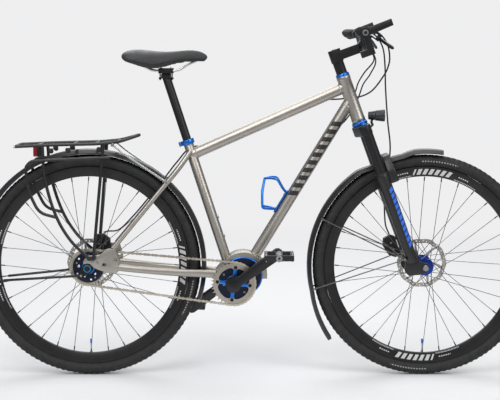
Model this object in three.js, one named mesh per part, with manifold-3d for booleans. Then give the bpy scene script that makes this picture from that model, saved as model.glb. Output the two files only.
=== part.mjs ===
// Touring bicycle with a gearbox at the cranks, a suspension fork, fenders and a rear rack.
// Millimetres, +Z up, +X forward, +Y to the rider's left. The origin is on the ground, under the middle
// of the bicycle. Shapes are worked out in bicycle coordinates, whose X starts at the rear axle.
import * as THREE from "three";
import { mergeVertices } from "three/addons/utils/BufferGeometryUtils.js";
import Module from "manifold-3d";

const wasm = await Module();
wasm.setup();

// Overall layout
const headAngle = 70;
const seatAngle = 72;
const wheelbase = 1066.5;
const forkRake = 40;
const crankDrop = 53;
const gap = 0.3;
const overrun = 2;
const weldDistance = 1e-4;
const quarterTurn = 90;
const halfTurn = 180;
const bisections = 60;

// Wheels
const wheelSegments = 36;
const tyreRadius = 355;
const tyreWidth = 46;
const tyreHeight = 38;
const rimDepth = 32;
const rimOuterRadius = tyreRadius - tyreHeight;
const rimInnerRadius = rimOuterRadius - rimDepth;
const rimWidth = 26;
const rimSpineWidth = 12;
const tyreProfileShares = [[0, -0.5], [0.45, -1], [1, -0.4], [1, 0.4], [0.45, 1], [0, 0.5]];
const valveLength = 41;
const valveRadius = 2.6;
const valveSides = 6;
const spokeCount = 32;
const spokeRadius = 1;
const spokeCrosses = 3;
const spokeFaceOffset = 1.1;
const spokeRimOffset = 1.1;
const spokeRimShare = 0.2;
const spokeSides = 3;

// Hubs, rotors and axles
const hubSegments = 12;
const hubShellRadius = 15;
const hubFlangeRadius = 29;
const hubFlangeThickness = 3.2;
const hubSpokeCircleRadius = 26;
const hubShoulder = 4;
const hubEndRadius = 11;
const rotorSeatRadius = 22;
const rotorPilotRadius = 17;
const rotorPilotLength = 4;
const rotorRadius = 80;
const rotorWave = 2.4;
const rotorWaves = 10;
const rotorTrackWidth = 15;
const rotorThickness = 1.8;
const rotorArms = 6;
const rotorArmWidthShare = 0.3;
const rotorArmLeanShare = 0.35;
const frontHubHalfWidth = 49.7;
const frontFlangeRight = -34;
const frontFlangeLeft = 26;
const frontRotorPlane = 40.2;
const frontAxleRadius = 7.5;
const frontAxleCapRadius = 9.5;
const frontAxleCapThickness = 6;
const axleClearance = 0.6;
const rearHubRight = -39.4;
const rearHubLeft = 67.3;
const rearFlangeRight = -33;
const rearFlangeLeft = 35;
const rearRotorPlane = 51;
const rearAxleRadius = 6;
const rearAxleHeadRadius = 13;
const rearAxleHeadThickness = 6;

// Chain drive
const chainPitch = 12.7;
const chainLinks = 104;
const chainringTeeth = 34;
const sprocketTeeth = 28;
const chainLine = 47;
const longestStepShare = 1.1;
const innerLinkHalfHeight = 3.4;
const innerLinkHalfWidth = 2.6;
const outerLinkHalfHeight = 4;
const outerLinkHalfWidth = 3.7;
const linkWindowHalfWidth = 1.65;
const linkWindowHalfLength = 3.3;
const linkCorners = ["lowRight", "lowInRight", "lowInLeft", "lowLeft",
  "highRight", "highInRight", "highInLeft", "highLeft"];
const toothThickness = 2.4;
const toothHeight = 3.8;
const toothRootDepth = 4.3;
const toothValleyWidth = 5.9;
const boltHoleSides = 6;
const spiderArms = 4;
const sprocketSleeveRadius = 17;
const sprocketHoleRadius = 8;
const sprocketHoleCircle = 38;
const sprocketHoles = 5;
const sprocketHoleSides = 5;
const chainringBoltCircle = 52;
const chainringBoltHoleRadius = 5;
const chainringBandInner = 44;
const spiderHubRadius = 25;
const spiderArmWidth = 17;
const chainringSleeveRadius = 24;

// Gearbox
const gearboxHalfWidth = 40;
const gearboxBossHeight = 1;
const gearboxBossRadius = 26;
const gearboxLowerRadius = 55;
const gearboxUpperRadius = 62;
const gearboxUpperForward = 29.6;
const gearboxUpperRise = 23;
const gearboxEdge = 3;
const gearboxArcSteps = 5;
const bridgeThickness = 15;
const bridgeHalfWidth = 36;
const bridgeBottomRise = 14;

// Cranks and pedals
const crankAngle = 36;
const crankLength = 175;
const crankAxleRadius = 12;
const crankInside = 71;
const crankThickness = 14;
const crankHubRadius = 23;
const crankEyeRadius = 14;
const crankWaist = 15;
const crankEdge = 2.5;
const crankArcSteps = 4;
const eyeletArcSteps = 3;
const spindleRadius = 6.5;
const pedalInside = 92;
const pedalWidth = 98;
const pedalLength = 91;
const pedalThickness = 17;
const pedalRail = 11;
const pedalBarrelRadius = 11;

// Frame tubes
const headTubeRadius = 22;
const headTubeBore = 18;
const headTubeRise = 149.4;
const headTubeLength = 150;
const headTubeBottom = tyreRadius + headTubeRise;
const headTubeTop = headTubeBottom + headTubeLength;
const topTubeRadius = 17.5;
const topTubeHeadDrop = 33.7;
const topTubeHeadHeight = headTubeTop - topTubeHeadDrop;
const downTubeRadius = 18;
const downTubeHeadRise = 73.6;
const downTubeHeadHeight = headTubeBottom + downTubeHeadRise;
const seatTubeRadius = 15.9;
const seatTubeTop = 478;
const topTubeSeatDrop = 50;
const topTubeSeatHeight = seatTubeTop - topTubeSeatDrop;
const seatTubeBore = 13.95;
const seatTubeBoreDepth = 250;
const tubeSides = 12;
const staySides = 6;
const seatstayRadius = 8.5;
const seatstayTopDrop = 38;
const seatstayTopHeight = seatTubeTop - seatstayTopDrop;
const seatstayTopSpread = 13;
const seatstayShoulderX = 287;
const seatstayShoulderRise = 313;
const seatstayShoulderSpread = 33;
const seatstayFootX = 80;
const seatstayFootRise = 63;
const seatstayFootSpread = 65;
const seatstaySteps = 6;
const stayBridgeShare = 0.3;
const stayBridgeRadius = 6;
const seatCollarRadius = 20.5;
const seatCollarHeight = 15;
const seatCollarEar = 9;
const stayEyeletBack = 20;
const stayEyeletDrop = 22;
const stayEyeletRadius = 8;
const dropoutInside = 67.8;
const dropoutThickness = 6;
const dropoutLength = 114;
const dropoutHeight = 77;
const dropoutEyeletRootRadius = 13;
const dropoutOutlineShares = [[-0.12, 0], [-0.1, 0.15], [0.02, 0.53], [0.35, 0.56], [0.54, 0.82], [0.78, 0.8],
  [0.87, 0.33], [0.885, -0.05], [0.82, -0.19], [0.6, -0.18], [0.38, -0.06], [0.13, -0.12], [0, -0.18],
  [-0.09, -0.13]];
const chainstayStartForward = 90;
const chainstayStartRise = 3;
const chainstaySag = 3;
const chainstayEndBack = 57;
const chainstayEndRise = 29;
const chainstayShares = [0, 0.35, 0.66, 0.83, 1];
const chainstaySpreads = [66, 60, 48, 39, 36.5];
const chainstayHalfWidths = [9, 10, 9, 7, 7];
const chainstayHalfHeights = [11, 11, 12, 12.5, 12.5];
const caliperInner = 7;
const caliperOuter = 12;
const frontCaliperOuter = 15;
const caliperEdge = 2;
const caliperLugRadius = 6;
const rearCaliperOutline = [[9, 36], [40, 30], [62, 44], [60, 78], [40, 94], [12, 92]];
const rearCaliperLugs = [[20, 84], [48, 78]];
const frontCaliperFront = -13;
const frontCaliperOutline = [[-13, 47], [-13, 112], [-26, 122], [-50, 118], [-60, 96], [-52, 62], [-34, 47]];
const caliperLugPlane = 49;
const caliperLugHeights = [66, 104];

// Headset, stem and handlebar, along the steering axis
const steererRadius = 14.3;
const headsetBore = 14.9;
const headsetSkirtRadius = 17;
const headsetUpperHeight = 10;
const headsetUpperRadius = 21.5;
const headsetLowerHeight = 13;
const headsetLowerRadius = 25;
const headsetSkirtLength = 12;
const roundSides = 12;
const spacerRadius = 17.5;
const spacerHeight = 37.3;
const spacerTop = headTubeTop + headsetUpperHeight + gap + spacerHeight;
const stemHeight = 40;
const stemClampRadius = 20;
const stemBeamHeight = 29;
const stemBeamWidth = 31;
const stemReach = 93;
const stemBarLift = 18;
const stemBarRise = spacerTop + stemBarLift;
const stemCapHeight = 4;
const barClampRadius = 15.9;
const barGripRadius = 11.1;
const barClampWidth = 46;
const barClampWall = 5.5;
const faceplateSplit = 1.2;
const barForward = 4;
const barRise = 42;
const barTipRise = 3;
const barSweep = 10;
const barRiseStart = 38;
const barRiseEnd = 110;
const barHalfWidth = 306;
const barSides = 10;
const sleeveClearance = 0.8;
const gripRadius = 16;
const gripSides = 12;
const gripLeftInside = 176;
const gripEndInset = 10;
const gripOutside = barHalfWidth - gripEndInset;
const gripWingReach = 29;
const gripWingRise = 20;
const gripWingThickness = 8;
const gripWingPower = 4;
const gripWingShares = [0.1, 0.7, 1, 0.85];
const barEndWidth = 14;
const barEndLength = 84;
const barEndRadius = 12;
const barEndHalfWidth = 6;
const barEndClampRadius = 16.5;
const barEndRise = 3;
const barEndTaperShare = 0.9;
const brakeClampInside = 112;
const brakeClampWidth = 15;
const brakeClampRadius = 15.5;
const brakeBodyReach = 30;
const brakeBodyDrop = 4;
const brakeBodyLength = 62;
const brakeBodyRadius = 10.5;
const yokeThickness = 4;
const yokeRadius = 6.5;
const leverPivotReach = 36;
const leverPivotDrop = 28;
const leverPivotOut = 160;
const leverTipReach = 63;
const leverTipDrop = 72;
const leverTipOut = 262;
const leverThickness = 8;
const leverBreadth = 11;
const leverPinRadius = 2.6;
const leverEyeRadius = 6.5;
const leverAxisAngle = 34;
const leverBow = 6;
const leverSides = 6;
const leverStationShares = [[0.02, 0, 0.8], [0.2, -0.5, 0.95], [0.5, -0.3, 1], [0.8, 0.4, 1], [0.95, 0.2,
  0.95],
  [1, 0, 0.6]];
const shifterInside = 140;
const shifterHousingWidth = 32;
const shifterHousingRadius = 17.5;
const shifterBoxDrop = 70;
const shifterBoxLength = 30;
const shifterBoxBack = 6;
const shifterBoxDepth = 18;
const shifterSpoutHeight = 20;
const shifterSleeveRadius = 17.5;
const shifterEndGap = 1;
const shifterSleeveLength = 42;
const gripRightInside = shifterInside + shifterHousingWidth + shifterSleeveLength + 2 * shifterEndGap;
const shifterRibs = 10;
const shifterRibDepth = 1.6;

// Suspension fork, along the steering axis
const crownHeight = 32;
const crownDepth = 26;
const crownEdge = 4;
const crownFrontReach = 28.5;
const crownOutlineShares = [[1, 0], [0.92, 0.5], [1.06, 0.86], [0.9, 1.2], [0.3, 1.32], [-0.4, 1.22],
  [-0.62, 0.9],
  [-0.94, 0.5], [-1.1, 0]];
const legSpread = 65;
const legForward = 8;
const stanchionRadius = 17;
const stanchionSides = 12;
const stanchionDepth = 150;
const archRise = 26;
const archTop = tyreRadius + archRise;
const sealDrop = 53;
const sealHeight = archTop - sealDrop;
const sealLip = 7;
const lowerLegRadius = 21;
const lowerLegBore = 17.5;
const crownDialRadius = 9;
const crownDialHeight = 5;
const forkTravel = 80;
const legFoot = 30;
const legFootRadius = 18;
const archThickness = 15;
const archRear = 27;
const archFront = 53;
const archOuterHalf = 73;
const archShoulderHalf = 58;
const archInnerHalf = 40;
const archShoulderRise = 2;
const archShoulder = sealHeight + archShoulderRise;
const archShoulderDrop = 14;
const archFootInner = 50;
const archFootDrop = 38;
const archFootHeight = sealHeight - archFootDrop;
const forkEyeletForward = -14;
const forkEyeletHeight = 51;
const forkEyeletOut = 10;
const forkDropoutOutline = [[-6, 66], [-10, 46], [-26, 12], [-18, -6], [17, -15], [40, -17], [57, 0], [52,
  12],
  [40, 17], [29, 30], [26, 66]];
const forkDropoutInside = 50.3;
const forkDropoutOutside = 64;

// Fenders
const fenderClearance = 18;
const fenderOuterRadius = tyreRadius + fenderClearance;
const fenderThickness = 2.5;
const fenderHalfWidth = 28;
const fenderEdgeDrop = 12;
const fenderSectionShares = [[-1, 1], [-0.6, 0], [0.6, 0], [1, 1]];
const fenderStepAngle = 11;
const flapSteps = 4;
const flapFlare = 17;
const dipSlopeShare = 2.2;
const rearStayAngle = 188;
const frontStayAngles = [155, 192];
const frontFenderStartAngle = 81;
const frontFenderEndAngle = 193;
const frontFlapEndAngle = 219;
const frontFlapHalfWidth = 15;
const archFenderGap = 2.5;
const archDip = fenderOuterRadius - (archTop - archThickness - archFenderGap);
const archDipHalfAngle = 15;
const rearFenderStartAngle = -19;
const rearFenderEndAngle = 200;
const fenderStayRadius = 2;
const fenderStaySides = 5;
const fenderStayEyeRadius = 6;
const fenderStayEyeThickness = 6.6;

// Saddle: stations are forward and over the middle of the rails
const saddleForward = 12.26019;
const saddleRear = -152;
const saddleLength = 271;
const saddleWidth = 150;
const saddleTopRise = 67;
const saddleDepth = 64;
const saddleStationShares = [0, 0.035, 0.09, 0.17, 0.27, 0.38, 0.5, 0.63, 0.76, 0.88, 0.97, 1];
const saddleWidthShares = [0.6, 0.86, 0.97, 1, 0.96, 0.74, 0.48, 0.34, 0.27, 0.24, 0.19, 0.09];
const saddleTopShares = [0.27, 0.12, 0.04, 0, 0.02, 0.09, 0.13, 0.09, 0.03, 0.04, 0.19, 0.34];
const saddleSkirtShares = [0.36, 0.56, 0.68, 0.78, 0.93, 1, 0.92, 0.76, 0.68, 0.68, 0.64, 0.46];
const saddleCrownShares = [[0, 0], [0.3, 0.015], [0.58, 0.08], [0.82, 0.24], [0.96, 0.5], [1, 0.76], [0.95,
  1]];
const saddleHollowWidthShare = 0.78;
const saddleLipShare = 0.12;
const saddleShellShare = 0.5;
const railRadius = 3.5;
const railSpread = 22;
const railSides = 6;
const railStations = [[-110, 36, 26.5], [-82, 30, 15], [-54, 22, 0], [28, 22, 0], [52, 14, 17], [80, 6, 29.5]];
const seatpostRadius = 13.6;
const seatpostInsert = 188;
const seatpostBottom = seatTubeTop - seatpostInsert;
const clampHeight = 16;
const clampLength = 46;
const clampHalfWidth = 27;
const railRise = 619;
const postHeadDrop = 17.67312;
const postHeadShare = 2 / 3;

// Rack: rises, and the second number of each station, are over the top of the rear fender
const rackTube = 5;
const rackSides = 5;
const deckHalfWidth = 55;
const deckStations = [[-228, 10], [-121, 15], [37, 19], [101, 25]];
const deckCrossStations = [[-224, 10], [-150, 14], [-40, 17], [30, 19], [96, 24]];
const tongueFront = 160;
const tongueRise = 43;
const tongueHalfWidth = 14;
const railHalfWidth = 64;
const railFront = 75;
const railFrontRise = -23;
const sideRailStations = [[-172, -34, 0], [-191, -53, 0], [-184, -126, 3], [-150, -197, 6], [-96, -211, 7]];
const strutFrontTopX = 53;
const strutFrontTopRise = 20;
const strutRearTopX = -138;
const strutRearTopRise = 14;
const strutRearBends = [[-131, -88], [-95, -210], [-50, -285]];
const strutFrontFootX = 20;
const strutRearFootX = 6;
const strutFootOverAxle = 33;
const strutFootClearance = 1.5;
const rackStayRadius = 3;
const rackStayLowX = 245;
const rackStayLowOverAxle = 274;
const rackStayLowSpread = 49.6;
const rackStayBendX = 112;
const rackStayBendRise = -9;
const rackStayBendSpread = 60;
const rackStayHighX = 82;
const rackStayHighRise = 16;
const rackStayEyeRadius = 5.5;
const rackStayEyeThickness = 5;

// Lamps
const headlightRadius = 19;
const headlightLength = 52;
const headlightRise = 478;
const headlightBehindAxle = 180.5;
const headlightBackRadius = 13;
const headlightBracket = 4;
const rearLightLength = 26;
const rearLightWidth = 52;
const rearLightHeight = 33;
const rearLightBack = 172;

// Hoses and cables
const hoseRadius = 2.5;
const cableRadius = 2.2;
const hoseSides = 4;
const cableSides = 4;
const hoseSteps = 14;
const cableApart = 5;
const hoseClearance = 0.3;
const shiftCableUps = [540, 440, 330, 230];
const rearHoseStart = [[929, -150, 1040], [941, -120, 1021], [943, -80, 997], [933, -30, 963], [897, 12, 910],
  [866, 25.5, 893], [836, 27, 888], [796, 25, 884]];
const rearHoseRunShares = [[0.82, 0.98, 0.4], [0.6, 0.75, 0.75], [0.35, 0.75, 0.75], [0.14, 0.98, 0.4]];
const rearHoseEnd = [[326, 24.5, 731], [277, 38, 681], [240.5, 40, 634.5], [131.5, 57, 502.5], [84, 62, 459],
  [52, 58, 456], [38, 57, 452]];
const upperCableStart = [[889, -155, 1016], [865, -90, 970], [852, -10, 935], [846, 31, 905], [826, 33, 868],
  [798, 26, 826]];
const lowerCableStart = [[893, -160, 1010], [884, -90, 967], [868, -5, 930], [860, 33, 897], [846, 37, 862],
  [812, 26, 812]];
const frontHose = [[944, 150, 994], [942, 120, 937], [955, 90, 800], [966, 91, 717], [950, 92, 600], [950,
  82, 500],
  [952, 64, 472], [961, 47, 448]];

// Bottle cage, along and off the down tube
const cageWireRadius = 3.4;
const cageLow = 222;
const cageHigh = 304;
const cageBackThickness = 4;
const cageBackHalfWidth = 9;
const cageSteps = 5;
const cageSides = 4;
const cageLoops = [
  [[232, 22, 5], [222, 36, 26], [214, 60, 37], [240, 92, 26], [276, 101, 10], [297, 103, 0]],
  [[296, 22, 5], [306, 40, 28], [316, 66, 38], [310, 92, 24], [297, 103, 0]],
];

const rad = THREE.MathUtils.degToRad;
const vec = (x, y, z) => new THREE.Vector3(x, y, z);

function material(name, color, roughness, metalness) {
  return new THREE.MeshStandardMaterial({ name, color, roughness, metalness, flatShading: true });
}

const titanium = material("brushed titanium", 0xa8a29a, 0.38, 0.9);
const blueAnodised = material("blue anodised aluminium", 0x2f77d8, 0.35, 0.8);
const blackPaint = material("black paint", 0x1c1c1d, 0.45, 0.2);
const satinBlack = material("satin black aluminium", 0x26262a, 0.5, 0.5);
const blackPlastic = material("black plastic", 0x202022, 0.6, 0);
const blackRubber = material("black rubber", 0x1a1a1a, 0.85, 0);
const saddleCover = material("saddle cover", 0x3c3d40, 0.7, 0);
const steel = material("steel", 0xb5aa9a, 0.35, 0.9);
const brightSteel = material("bright steel", 0xc9c9c6, 0.25, 1);

// Geometry helpers

function signedVolume(positions, index) {
  const a = vec(0, 0, 0);
  const b = vec(0, 0, 0);
  const c = vec(0, 0, 0);
  let sum = 0;
  for (let i = 0; i < index.length; i += 3) {
    a.fromArray(positions, index[i] * 3);
    b.fromArray(positions, index[i + 1] * 3);
    c.fromArray(positions, index[i + 2] * 3);
    sum += a.dot(b.cross(c));
  }
  return sum;
}

// Welds the shared vertices and turns the faces outward.
function welded(geometry) {
  const bare = geometry.clone();
  bare.deleteAttribute("normal");
  bare.deleteAttribute("uv");
  const merged = mergeVertices(bare, weldDistance);
  const positions = merged.getAttribute("position").array;
  const source = merged.index.array;
  const kept = [];
  for (let i = 0; i < source.length; i += 3) {
    const [a, b, c] = [source[i], source[i + 1], source[i + 2]];
    if (a !== b && b !== c && c !== a) kept.push(a, b, c);
  }
  if (signedVolume(positions, kept) < 0) kept.reverse();
  merged.setIndex(kept);
  return merged;
}

function toSolid(geometry) {
  const closed = welded(geometry);
  const vertProperties = Float32Array.from(closed.getAttribute("position").array);
  const triVerts = Uint32Array.from(closed.index.array);
  return new wasm.Manifold(new wasm.Mesh({ numProp: 3, vertProperties, triVerts }));
}

function toGeometry(solid) {
  const mesh = solid.getMesh();
  const geometry = new THREE.BufferGeometry();
  const positions = Float32Array.from(mesh.vertProperties);
  geometry.setAttribute("position", new THREE.BufferAttribute(positions, mesh.numProp));
  geometry.setIndex(Array.from(mesh.triVerts));
  return geometry;
}

// Joins neighbours first, so that a long list stays quick.
function joined(solids) {
  let level = solids;
  while (level.length > 1) {
    const next = [];
    for (let i = 0; i < level.length; i += 2) {
      next.push(i + 1 < level.length ? level[i].add(level[i + 1]) : level[i]);
    }
    level = next;
  }
  return level[0];
}

const fuse = (...geometries) => toGeometry(joined(geometries.map(toSolid)));

function cut(body, ...tools) {
  return toGeometry(toSolid(body).subtract(joined(tools.map(toSolid))));
}

const mirrored = (geometry) => geometry.clone().applyMatrix4(new THREE.Matrix4().makeScale(1, -1, 1));

// A cylinder or cone frustum from one point to another.
function rod(from, to, radius, sides = hubSegments, endRadius = radius) {
  const axis = to.clone().sub(from);
  const geometry = new THREE.CylinderGeometry(endRadius, radius, axis.length(), sides);
  const turn = new THREE.Quaternion().setFromUnitVectors(vec(0, 1, 0), axis.clone().normalize());
  geometry.applyQuaternion(turn);
  const middle = from.clone().addScaledVector(axis, 1 / 2);
  return geometry.translate(middle.x, middle.y, middle.z);
}

// A cylinder along Y.
function crossRod(x, z, yFrom, yTo, radius, sides = hubSegments) {
  return rod(vec(x, yFrom, z), vec(x, yTo, z), radius, sides);
}

// A round tube along a smooth path through the points.
function pipe(points, radius, sides, steps) {
  const path = new THREE.CatmullRomCurve3(points, false, "centripetal");
  const section = new THREE.Shape();
  for (let i = 0; i < sides; i += 1) {
    const angle = (i / sides) * Math.PI * 2;
    const [x, y] = [radius * Math.cos(angle), radius * Math.sin(angle)];
    if (i === 0) section.moveTo(x, y);
    else section.lineTo(x, y);
  }
  section.closePath();
  return new THREE.ExtrudeGeometry(section, { steps, extrudePath: path, bevelEnabled: false });
}

function shapeOf(points, holes = []) {
  const shape = new THREE.Shape(points.map(([x, y]) => new THREE.Vector2(x, y)));
  for (const hole of holes) shape.holes.push(new THREE.Path(hole.map(([x, y]) => new THREE.Vector2(x, y))));
  return shape;
}

// A plate whose outline lies in XZ, from yFrom to yTo, with an optional chamfer.
function slab(points, yFrom, yTo, holes = [], bevel = 0) {
  const geometry = new THREE.ExtrudeGeometry(shapeOf(points, holes), {
    depth: yTo - yFrom - 2 * bevel,
    bevelEnabled: bevel > 0,
    bevelThickness: bevel,
    bevelSize: bevel,
    bevelOffset: -bevel,
    bevelSegments: 1,
  });
  return geometry.rotateX(Math.PI / 2).translate(0, yTo - bevel, 0);
}

// A box between two corners.
function block(low, high) {
  const size = high.clone().sub(low);
  const middle = low.clone().add(high).multiplyScalar(1 / 2);
  return new THREE.BoxGeometry(size.x, size.y, size.z).translate(middle.x, middle.y, middle.z);
}

// A body turned about the Y axis from [radius, y] points.
function turned(profile, segments) {
  const points = profile.map(([radius, y]) => new THREE.Vector2(radius, y));
  const onAxis = profile[0][0] === 0 && profile[profile.length - 1][0] === 0;
  if (!onAxis) points.push(points[0].clone());
  return new THREE.LatheGeometry(points, segments);
}

// A body turned about the Z axis from [radius, z] points.
const turnedUp = (profile, segments) => turned(profile, segments).rotateX(Math.PI / 2);

// A skin through equal rings of points, closed by a fan at each end.
function loft(rings) {
  const count = rings[0].length;
  const positions = [];
  for (const ring of rings) for (const point of ring) positions.push(point.x, point.y, point.z);
  const middleOf = (ring) => ring.reduce((sum, point) => sum.add(point), vec(0, 0, 0)).divideScalar(count);
  const ends = [middleOf(rings[0]), middleOf(rings[rings.length - 1])];
  for (const end of ends) positions.push(end.x, end.y, end.z);
  const index = [];
  for (let r = 0; r + 1 < rings.length; r += 1) {
    for (let i = 0; i < count; i += 1) {
      const a = r * count + i;
      const b = r * count + ((i + 1) % count);
      index.push(a, b, b + count, a, b + count, a + count);
    }
  }
  const firstMiddle = rings.length * count;
  const lastRing = (rings.length - 1) * count;
  for (let i = 0; i < count; i += 1) {
    const next = (i + 1) % count;
    index.push(next, i, firstMiddle);
    index.push(lastRing + i, lastRing + next, firstMiddle + 1);
  }
  const geometry = new THREE.BufferGeometry();
  geometry.setAttribute("position", new THREE.Float32BufferAttribute(positions, 3));
  geometry.setIndex(index);
  return geometry;
}

// An oval ring of points about a centre, in the plane of two directions.
function oval(centre, across, up, halfAcross, halfUp, count) {
  const ring = [];
  for (let i = 0; i < count; i += 1) {
    const angle = (i / count) * Math.PI * 2;
    ring.push(centre.clone().addScaledVector(across, halfAcross * Math.cos(angle))
      .addScaledVector(up, halfUp * Math.sin(angle)));
  }
  return ring;
}

function circlePoints(x, z, radius, count, turn = 0) {
  const points = [];
  for (let i = 0; i < count; i += 1) {
    const angle = turn + (i / count) * Math.PI * 2;
    points.push([x + radius * Math.cos(angle), z + radius * Math.sin(angle)]);
  }
  return points;
}

const polar = (radius, angle) => [radius * Math.cos(angle), radius * Math.sin(angle)];

// Chain path: the run over the chainring, along to the sprocket, round it and back.

const toothAngle = (teeth) => (Math.PI * 2) / teeth;
const pitchRadius = (teeth) => chainPitch / (2 * Math.sin(Math.PI / teeth));
const chainringRadius = pitchRadius(chainringTeeth);
const sprocketRadius = pitchRadius(sprocketTeeth);

// The path in the plane of the two axles: the sprocket at the origin, the chainring at [distance, 0].
function chainPath(distance) {
  const lean = Math.asin((chainringRadius - sprocketRadius) / distance);
  const run = Math.sqrt(distance ** 2 - (chainringRadius - sprocketRadius) ** 2);
  const frontArc = chainringRadius * (Math.PI + 2 * lean);
  const rearArc = sprocketRadius * (Math.PI - 2 * lean);
  const topAngle = Math.PI / 2 + lean;
  const length = frontArc + rearArc + 2 * run;
  function at(travel) {
    let s = ((travel % length) + length) % length;
    if (s < frontArc) {
      const [x, z] = polar(chainringRadius, -topAngle + s / chainringRadius);
      return [distance + x, z];
    }
    s -= frontArc;
    if (s < run) {
      const [x, z] = polar(chainringRadius, topAngle);
      return [distance + x - s * Math.cos(lean), z - s * Math.sin(lean)];
    }
    s -= run;
    if (s < rearArc) return polar(sprocketRadius, topAngle + s / sprocketRadius);
    s -= rearArc;
    const [x, z] = polar(sprocketRadius, -topAngle);
    return [x + s * Math.cos(lean), z - s * Math.sin(lean)];
  }
  return { at, length };
}

const chord = ([ax, az], [bx, bz]) => Math.hypot(bx - ax, bz - az);

// The pins of the chain, one pitch apart along the path, and where the next one after the last would lie.
function chainPins(distance) {
  const path = chainPath(distance);
  const pins = [];
  let travel = 0;
  for (let i = 0; i < chainLinks; i += 1) {
    const here = path.at(travel);
    pins.push(here);
    let low = chainPitch;
    let high = chainPitch * longestStepShare;
    for (let k = 0; k < bisections; k += 1) {
      const middle = (low + high) / 2;
      if (chord(here, path.at(travel + middle)) < chainPitch) low = middle;
      else high = middle;
    }
    travel += high;
  }
  return { pins, over: travel - path.length };
}

// The axle distance at which the chain closes without slack.
function closedDistance() {
  let low = chainringRadius + sprocketRadius;
  let high = (chainLinks * chainPitch) / 2;
  for (let k = 0; k < bisections; k += 1) {
    const middle = (low + high) / 2;
    if (chainPins(middle).over > 0) low = middle;
    else high = middle;
  }
  return (low + high) / 2;
}

// Places in bicycle coordinates

const driveDistance = closedDistance();
const driveAngle = Math.asin(crankDrop / driveDistance);
const rearAxle = vec(0, 0, tyreRadius);
const frontAxle = vec(wheelbase, 0, tyreRadius);
const crankAxis = vec(Math.sqrt(driveDistance ** 2 - crankDrop ** 2), 0, tyreRadius - crankDrop);
const steerForward = vec(Math.sin(rad(headAngle)), 0, Math.cos(rad(headAngle)));
const steerUp = vec(-Math.cos(rad(headAngle)), 0, Math.sin(rad(headAngle)));
const steerOrigin = frontAxle.clone().addScaledVector(steerForward, -forkRake);
const seatForward = vec(Math.sin(rad(seatAngle)), 0, Math.cos(rad(seatAngle)));
const seatUp = vec(-Math.cos(rad(seatAngle)), 0, Math.sin(rad(seatAngle)));
const lengthMiddle = (wheelbase + tyreRadius - fenderOuterRadius) / 2;

// A place given by its rise over the axles.
const overAxle = (x, y, rise) => vec(x, y, tyreRadius + rise);

// A place given by its rise over the top of the rear fender.
const overFender = (x, y, rise) => overAxle(x, y, fenderOuterRadius + rise);

// A place given forward of, beside and up the steering axis.
function steerPoint(forward, y, up) {
  return steerOrigin.clone().addScaledVector(steerForward, forward).addScaledVector(steerUp, up).setY(y);
}

// A place given forward of, beside and up the seat tube.
function seatPoint(forward, y, up) {
  return crankAxis.clone().addScaledVector(seatForward, forward).addScaledVector(seatUp, up).setY(y);
}

const railHeight = tyreRadius + railRise;
const seatpostTop = (railHeight - postHeadDrop - crankAxis.z) / seatUp.z;
const postTop = seatPoint(0, 0, seatpostTop);
const railMiddle = vec(postTop.x + saddleForward, 0, railHeight);

const gearboxUpper = crankAxis.clone().add(vec(gearboxUpperForward, 0, gearboxUpperRise));
const downTubeTop = steerPoint(0, 0, downTubeHeadHeight);
const downTubeUp = downTubeTop.clone().sub(gearboxUpper).normalize();
const downTubeOff = vec(-downTubeUp.z, 0, downTubeUp.x);

// A place given up the down tube from the gearbox, off it toward the seat tube, and to the side.
function downTubePoint(up, off, y) {
  return gearboxUpper.clone().addScaledVector(downTubeUp, up).addScaledVector(downTubeOff, off).setY(y);
}

// Wheels

function tyre() {
  const seat = rimOuterRadius + gap;
  const profile = tyreProfileShares.map(([up, side]) => [seat + up * (tyreRadius - seat),
    (side * tyreWidth) / 2]);
  return turned(profile, wheelSegments);
}

function rim() {
  const ring = turned([
    [rimInnerRadius, -rimSpineWidth / 2], [rimOuterRadius, -rimWidth / 2],
    [rimOuterRadius, rimWidth / 2], [rimInnerRadius, rimSpineWidth / 2],
  ], wheelSegments);
  const stem = rod(vec(0, 0, -rimInnerRadius - overrun), vec(0, 0, valveLength - rimInnerRadius), valveRadius,
    valveSides);
  return fuse(ring, stem);
}

// The spokes of one flange, each from a face of the flange to the rim.
function spokes(flangePlane, turn) {
  const perFlange = spokeCount / 2;
  const reach = spokeCrosses * 2 * toothAngle(spokeCount);
  const rimRadius = rimInnerRadius * Math.cos(Math.PI / wheelSegments) - 2 * gap;
  const rods = [];
  for (let i = 0; i < perFlange; i += 1) {
    const lead = i % 2 === 0 ? 1 : -1;
    const hole = turn + (i / perFlange) * Math.PI * 2;
    const [x, z] = polar(hubSpokeCircleRadius, hole);
    const [rimX, rimZ] = polar(rimRadius, hole + lead * reach);
    const rimY = Math.sign(flangePlane) * rimSpineWidth * spokeRimShare + lead * spokeRimOffset;
    rods.push(tubeRun([vec(x, flangePlane + lead * spokeFaceOffset, z), vec(rimX, rimY, rimZ)], spokeRadius,
      spokeSides));
  }
  return rods;
}

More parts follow.
